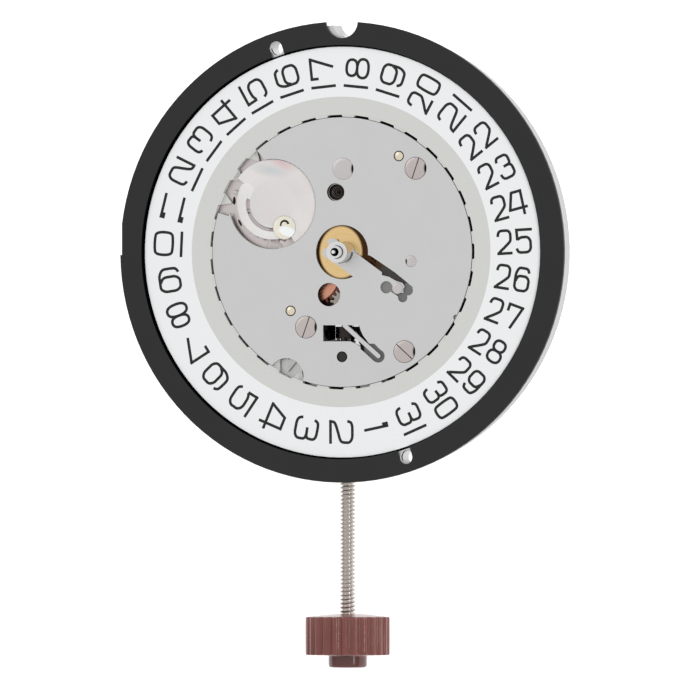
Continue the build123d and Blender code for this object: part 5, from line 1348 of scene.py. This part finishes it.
@dataclass
class DateWheel:
    """The date wheel's gear and disc, the spring finger cut free in it and the round post.

    Attributes:
        centre: the wheel's axis.
        disc_radius: radius of the disc, which nearly fills its opening.
        disc_top: height of its top.
        gear_top: height of the gear's top, where the disc starts.
        hub_radius: radius of the disc where the finger lies beside it.
        cut_start: angle where the disc is cut back for the finger.
        cut_end: angle where it reaches its full radius again.
        finger_radii: outer radius of the finger at its root and at its free end.
        slot_radii: inner radius of the finger at its root and at its free end.
        root_angle: angle where the slot between finger and hub ends.
        tip_reach: radius of the tip that moves the ring.
        tip_angles: angles between which that tip lies.
        tip_levels: its lowest and highest level.
        post_place: middle of the post.
        post_radius: its radius.
        post_height: how far it stands above the disc.
    """

    centre: Point = DATE_AXIS
    disc_radius: float = 2.525
    disc_top: float = -0.18
    gear_top: float = -0.36
    hub_radius: float = 1.36
    cut_start: float = 145.0
    cut_end: float = 300.0
    finger_radii: Point = (2.14, 1.97)
    slot_radii: Point = (1.60, 1.53)
    root_angle: float = 168.0
    tip_reach: float = 2.50
    tip_angles: Point = (160.5, 167.0)
    tip_levels: Point = (-0.46, -0.33)
    post_place: Point = (-3.402, 1.380)
    post_radius: float = 0.66
    post_height: float = 0.06

    def gear(self) -> Piece:
        """Copies the solid wheel and cuts its disc off."""
        piece = copy_of(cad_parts["date_wheel"])
        close_shell(piece)
        cut_square(piece, self.gear_top - 0.002, above=True)
        return piece

    def disc(self) -> Piece:
        """The disc, cut back to its hub where the finger lies."""
        outline = arc(self.centre, (self.disc_radius, self.cut_end - 360), (self.disc_radius, self.cut_start), 120)
        outline += arc(self.centre, (self.hub_radius, self.cut_start + 3), (self.hub_radius, self.cut_end), 90)
        return flat_piece("date_disc", outline, self.gear_top, self.disc_top, 0.04)

    def finger(self) -> Piece:
        """The finger with its broad root, and the tip below it."""
        root, free = self.finger_radii
        inner_root, inner_free = self.slot_radii
        outline = arc(self.centre, (root - 0.12, 143.5), (root, 149), 4)
        outline += arc(self.centre, (root, 152), (free, self.cut_end), 60)
        outline += arc(self.centre, (inner_free, self.cut_end), (inner_root, self.root_angle + 4), 56)
        outline += arc(
            self.centre, (inner_root - 0.07, self.root_angle), (self.hub_radius + 0.03, self.root_angle + 2), 4,
        )
        outline += arc(self.centre, (self.hub_radius - 0.03, self.root_angle), (self.hub_radius - 0.03, 147), 10)
        outline += arc(self.centre, (self.hub_radius + 0.15, 139.5), (root - 0.3, 139.5), 4)
        arm = flat_piece("finger_arm", outline, self.gear_top, self.disc_top + 0.012, 0.035)
        low, high = self.tip_levels
        block = arc(self.centre, (root - 0.03, self.tip_angles[0]), (self.tip_reach, self.tip_angles[0] + 1), 1)
        block += arc(self.centre, (self.tip_reach, self.tip_angles[1] - 1), (root - 0.03, self.tip_angles[1]), 1)
        return join("spring_finger", [arm, flat_piece("finger_tip", block, low, high, 0.02)])

    def post(self) -> Piece:
        """The post with a raised rim and a hooked recess."""
        top = self.disc_top + self.post_height
        radius = self.post_radius
        rings = [
            (radius, self.disc_top - 0.001), (radius, top - 0.03), (radius - 0.03, top), (radius - 0.10, top),
            (radius - 0.13, top - 0.015), (0.3, top - 0.012), (0.05, top - 0.012),
        ]
        piece = turned("round_post", rings, ROUND_SIDES, (*self.post_place, 0))
        middle = (self.post_place[0] + 0.02, self.post_place[1] + 0.17)
        hook = arc(middle, (0.27, 200), (0.29, 10), 16) + arc(middle, (0.15, 10), (0.17, 200), 12)
        cutter = flat_piece("hook", hook, top - 0.032, top + 0.1, 0.002)
        cut_out(piece, cutter, "hook")
        return piece

    def build(self) -> None:
        """Builds and dresses the wheel, the finger and the post."""
        wheel = join("disced_wheel", [self.gear(), self.disc()])
        smooth(wheel)
        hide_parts("date_wheel")
        dress(wheel, NODE_FINISHES["date_wheel"], Body.DATE_WHEEL)
        finger = self.finger()
        smooth(finger)
        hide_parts("date_finger")
        dress(finger, NODE_FINISHES["date_finger"], Body.DATE_WHEEL)
        post = self.post()
        smooth(post)
        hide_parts("date_wheel_post")
        dress(post, POST_PLASTIC, Body.DATE_WHEEL)


@dataclass
class RotorBearing:
    """The dark ringed bearing of the rotor's upper end.

    Attributes:
        place: the rotor's axis.
        bottom: height of its underside.
        top: height of its rim.
        radius: its radius.
        bore: radius of its hole.
    """

    place: Point = ROTOR_PLACE
    bottom: float = -0.94
    top: float = -0.54
    radius: float = 0.45
    bore: float = 0.11

    def build(self) -> Piece:
        """Turns the bearing with its ridges and its dished middle."""
        rings = [(self.radius, self.bottom), (self.radius, self.top - 0.02)]
        ridges = (
            (0.43, 0.0), (0.37, 0.0), (0.34, 0.05), (0.29, 0.06), (0.26, 0.01), (0.22, 0.01), (0.19, 0.07),
            (0.15, 0.1), (self.bore, 0.1), (self.bore - 0.01, 0.2),
        )
        rings += [(radius, self.top - depth) for radius, depth in ridges]
        piece = turned("ringed_bearing", rings, ROUND_SIDES, (*self.place, 0))
        smooth(piece, 50)
        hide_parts("rotor_bearing")
        return dress(piece, BEARING, Body.MOVEMENT)


@dataclass
class DatePlateFasteners:
    """The slotted screws, locating pins and studs that show on the date plate.

    Attributes:
        plate_level: height of the plate's top.
        bottom: height of the fasteners' lower ends.
        head_bottom: height of the underside of a screw's head.
        groove_level: height of the floor of the groove round each head.
        screw_places: middles of the screws.
        slot_turns: directions of their slots in degrees.
        screw_radius: radius of a screw's head.
        shank_radius: radius of its shank.
        screw_top: height of its top.
        slot_width: width of its slot.
        slot_depth: depth of its slot.
        pin_places: middles of the locating pins.
        pin_radius: radius of a pin with its groove.
        small_stud_places: middles of the small studs.
        small_stud_radius: radius of a small stud with its groove.
        large_stud_place: middle of the large stud.
        large_stud_radius: its radius with its groove.
    """

    plate_level: float = -0.10
    bottom: float = -0.60
    head_bottom: float = -0.24
    groove_level: float = -0.15
    screw_places: tuple[Point, ...] = SCREW_PLACES
    slot_turns: tuple[float, ...] = (71.0, 70.6, -42.0)
    screw_radius: float = 0.626
    shank_radius: float = 0.28
    screw_top: float = -0.07
    slot_width: float = 0.06
    slot_depth: float = 0.05
    pin_places: tuple[Point, ...] = ((3.329, 5.411), (-3.013, -3.311))
    pin_radius: float = 0.30
    small_stud_places: tuple[Point, ...] = (SMALL_STUD_PLACE, (3.254, -2.049))
    small_stud_radius: float = 0.32
    large_stud_place: Point = LARGE_STUD_PLACE
    large_stud_radius: float = 0.62

    def head(
        self, name: str, radius: float, top: float, groove: float, edge: float, dome: float, shank: float = 0.0
    ) -> Piece:
        """Turns a round head that stands in a groove, about the origin.

        Args:
            name: the piece's name.
            radius: radius with the groove.
            top: height of the head's rounded edge.
            groove: width of the groove.
            edge: size of the rounded edge.
            dome: how far the middle rises above the edge.
            shank: radius of the shank below the head, or 0 for none.

        Returns:
            The head.
        """
        inner = radius - groove
        lower = [(shank, self.bottom), (shank, self.head_bottom), (radius, self.head_bottom - 0.001)]
        rings = (lower if shank else [(radius, self.bottom)]) + [
            (radius, self.groove_level), (inner, self.groove_level - 0.001),
            (inner, top - edge), (inner - 0.1 * edge, top - 0.6 * edge), (inner - 0.35 * edge, top - 0.25 * edge),
            (inner - edge, top), (0.6 * inner, top + 0.7 * dome), (0.3 * inner, top + 0.95 * dome),
            (0.05, top + dome),
        ]
        return turned(name, rings, ROUND_SIDES, (0, 0, 0))

    def cut_slot(self, piece: Piece) -> None:
        """Cuts a slot along X across a screw's head."""
        start_clean()
        bpy.ops.mesh.primitive_cube_add(size=2 * MM, location=(0, 0, (self.screw_top + 1 - self.slot_depth) * MM))
        cutter = bpy.context.object
        cutter.scale = (1, self.slot_width / 2, 1)
        settle(cutter)
        cut_out(piece, cutter, "slot")

    def placed(self, piece: Piece, place: Point, turn: float) -> Piece:
        """Puts a copy of a head at its place, turned by some degrees."""
        copy = copy_of(piece)
        place_at(copy, (*place, 0), (0, 0, math.radians(turn)))
        return copy

    def set_of(self, name: str, piece: Piece, places: tuple[Point, ...], turns: tuple[float, ...]) -> Piece:
        """Copies one head to all its places and joins the copies."""
        copies = [self.placed(piece, place, turn) for place, turn in zip(places, turns)]
        bpy.data.objects.remove(piece)
        made = join(name, copies)
        smooth(made, 32)
        return made

    def build(self) -> None:
        """Makes the screws, the pins and the studs, and dresses them."""
        screw = self.head("screw", self.screw_radius, self.screw_top, 0.002, 0.04, 0.0, self.shank_radius)
        self.cut_slot(screw)
        screws = self.set_of("slotted_screws", screw, self.screw_places, self.slot_turns)
        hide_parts("date_plate_screws")
        dress(screws, SCREW_STEEL, Body.MOVEMENT)
        pin = self.head("pin", self.pin_radius, self.plate_level + 0.01, 0.045, 0.05, 0.035)
        pins = self.set_of("domed_pins", pin, self.pin_places, (0.0, 0.0))
        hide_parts("locating_pins")
        dress(pins, PIN_BRASS, Body.MOVEMENT)
        small = self.head("small_stud", self.small_stud_radius, self.plate_level + 0.025, 0.004, 0.04, 0.005)
        large = self.head("large_stud", self.large_stud_radius, self.plate_level + 0.03, 0.002, 0.04, 0.004)
        studs = [
            self.set_of("small_studs", small, self.small_stud_places, (0.0, 0.0)),
            self.set_of("large_stud_placed", large, (self.large_stud_place,), (0.0,)),
        ]
        joined = join("round_studs", studs)
        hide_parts("plate_studs")
        dress(joined, STUD_STEEL, Body.MOVEMENT)


def dress_frame() -> None:
    """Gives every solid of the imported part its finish."""
    for name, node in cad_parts.items():
        made = NODE_FINISHES[name].material()
        if node.data.materials:
            for index in range(len(node.data.materials)):
                node.data.materials[index] = made
        else:
            node.data.materials.append(made)
        LOG.info("%s: %s", name, made.name)


@dataclass
class Studio:
    """The pale floor, the soft light and the camera of the photograph.

    Attributes:
        floor_level: height of the floor under the crown.
        tilt: how far the camera leans towards +X about the stem's direction, in degrees.
        distance: from the camera to the dial's plane.
        width: what the picture spans at the dial's plane.
        middle: the picture's centre from the hands' axis, across and up the picture.
    """

    floor_level: float = -3.70
    tilt: float = 15.9
    distance: float = 1500.0
    width: float = 38.33
    middle: Point = (-0.085, -4.955)

    def floor(self) -> Piece:
        """Lays a wide pale floor with a faint cloudiness."""
        start_clean()
        bpy.ops.mesh.primitive_plane_add(size=4.0, location=(0, 0, self.floor_level * MM))
        piece = bpy.context.object
        piece.name = "pale_floor"
        made = bpy.data.materials.new("pale_floor_paper")
        made.use_nodes = True
        tree = made.node_tree
        on = Canvas(tree, tree.nodes["Principled BSDF"], add_node(tree, "TexCoord").outputs["Object"])
        tones = on.ramp(on.noise(40.0), (linear("F6F6F6"), linear("FAFAFA")), (0.0, 1.0))
        on.give(Base_Color=tones, Roughness=0.9, Emission_Color=(1, 1, 1, 1), Emission_Strength=0.6)
        piece.data.materials.append(made)
        return piece

    def lights(self) -> None:
        """Sets a soft white surround, dimmer towards the horizon, and two soft boxes."""
        world = bpy.data.worlds.new("soft_white")
        bpy.context.scene.world = world
        world.use_nodes = True
        tree = world.node_tree
        direction = add_node(tree, "TexCoord").outputs["Generated"]
        upward = add_node(tree, "SeparateXYZ", {"Vector": direction}).outputs["Z"]
        glow = add_node(tree, "MapRange", {"Value": upward, "From Max": 0.6, "To Min": 0.3, "To Max": 0.845})
        background = tree.nodes["Background"]
        background.inputs["Color"].default_value = (1, 1, 1, 1)
        tree.links.new(glow.outputs["Result"], background.inputs["Strength"])
        boxes = {
            "soft_box_left": ((-0.35, 0.25, 0.45), (0.35, 0.35), 0.22),
            "soft_box_right": ((0.42, 0.06, 0.31), (0.55, 0.045), 0.62),
        }
        for name, (place, size, power) in boxes.items():
            light = bpy.data.lights.new(name, "AREA")
            light.shape, light.energy = "RECTANGLE", power
            light.size, light.size_y = size
            box = bpy.data.objects.new(name, light)
            box.location = place
            box.rotation_euler = (-Vector(place)).to_track_quat("-Z", "Y").to_euler()
            bpy.context.collection.objects.link(box)

    def camera(self) -> None:
        """Places a long lens where the photograph was taken from."""
        data = bpy.data.cameras.new("photo_camera")
        data.sensor_width = SENSOR_WIDTH
        data.lens = SENSOR_WIDTH * self.distance / self.width
        data.clip_start, data.clip_end = 0.01, 10.0
        view = bpy.data.objects.new("photo_camera", data)
        turn = Matrix.Rotation(math.radians(self.tilt), 4, "Y")
        view.matrix_world = Matrix.Translation(turn @ (Vector((*self.middle, self.distance)) * MM)) @ turn
        bpy.context.collection.objects.link(view)
        bpy.context.scene.camera = view
        bpy.context.scene.view_settings.view_transform = "Standard"

    def build(self) -> None:
        """Sets up floor, lights and camera."""
        self.floor()
        self.lights()
        self.camera()


def main() -> None:
    """Builds every sub-assembly."""
    logging.basicConfig(level=logging.INFO, format="%(message)s")
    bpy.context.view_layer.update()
    dress_frame()
    DateNumbers().build()
    DateWheel().build()
    RotorBearing().build()
    DatePlateFasteners().build()
    Stem().build()
    Crown().build()
    CoilWinding().build()
    Battery().build()
    Studio().build()


if __name__ == "__main__":
    main()
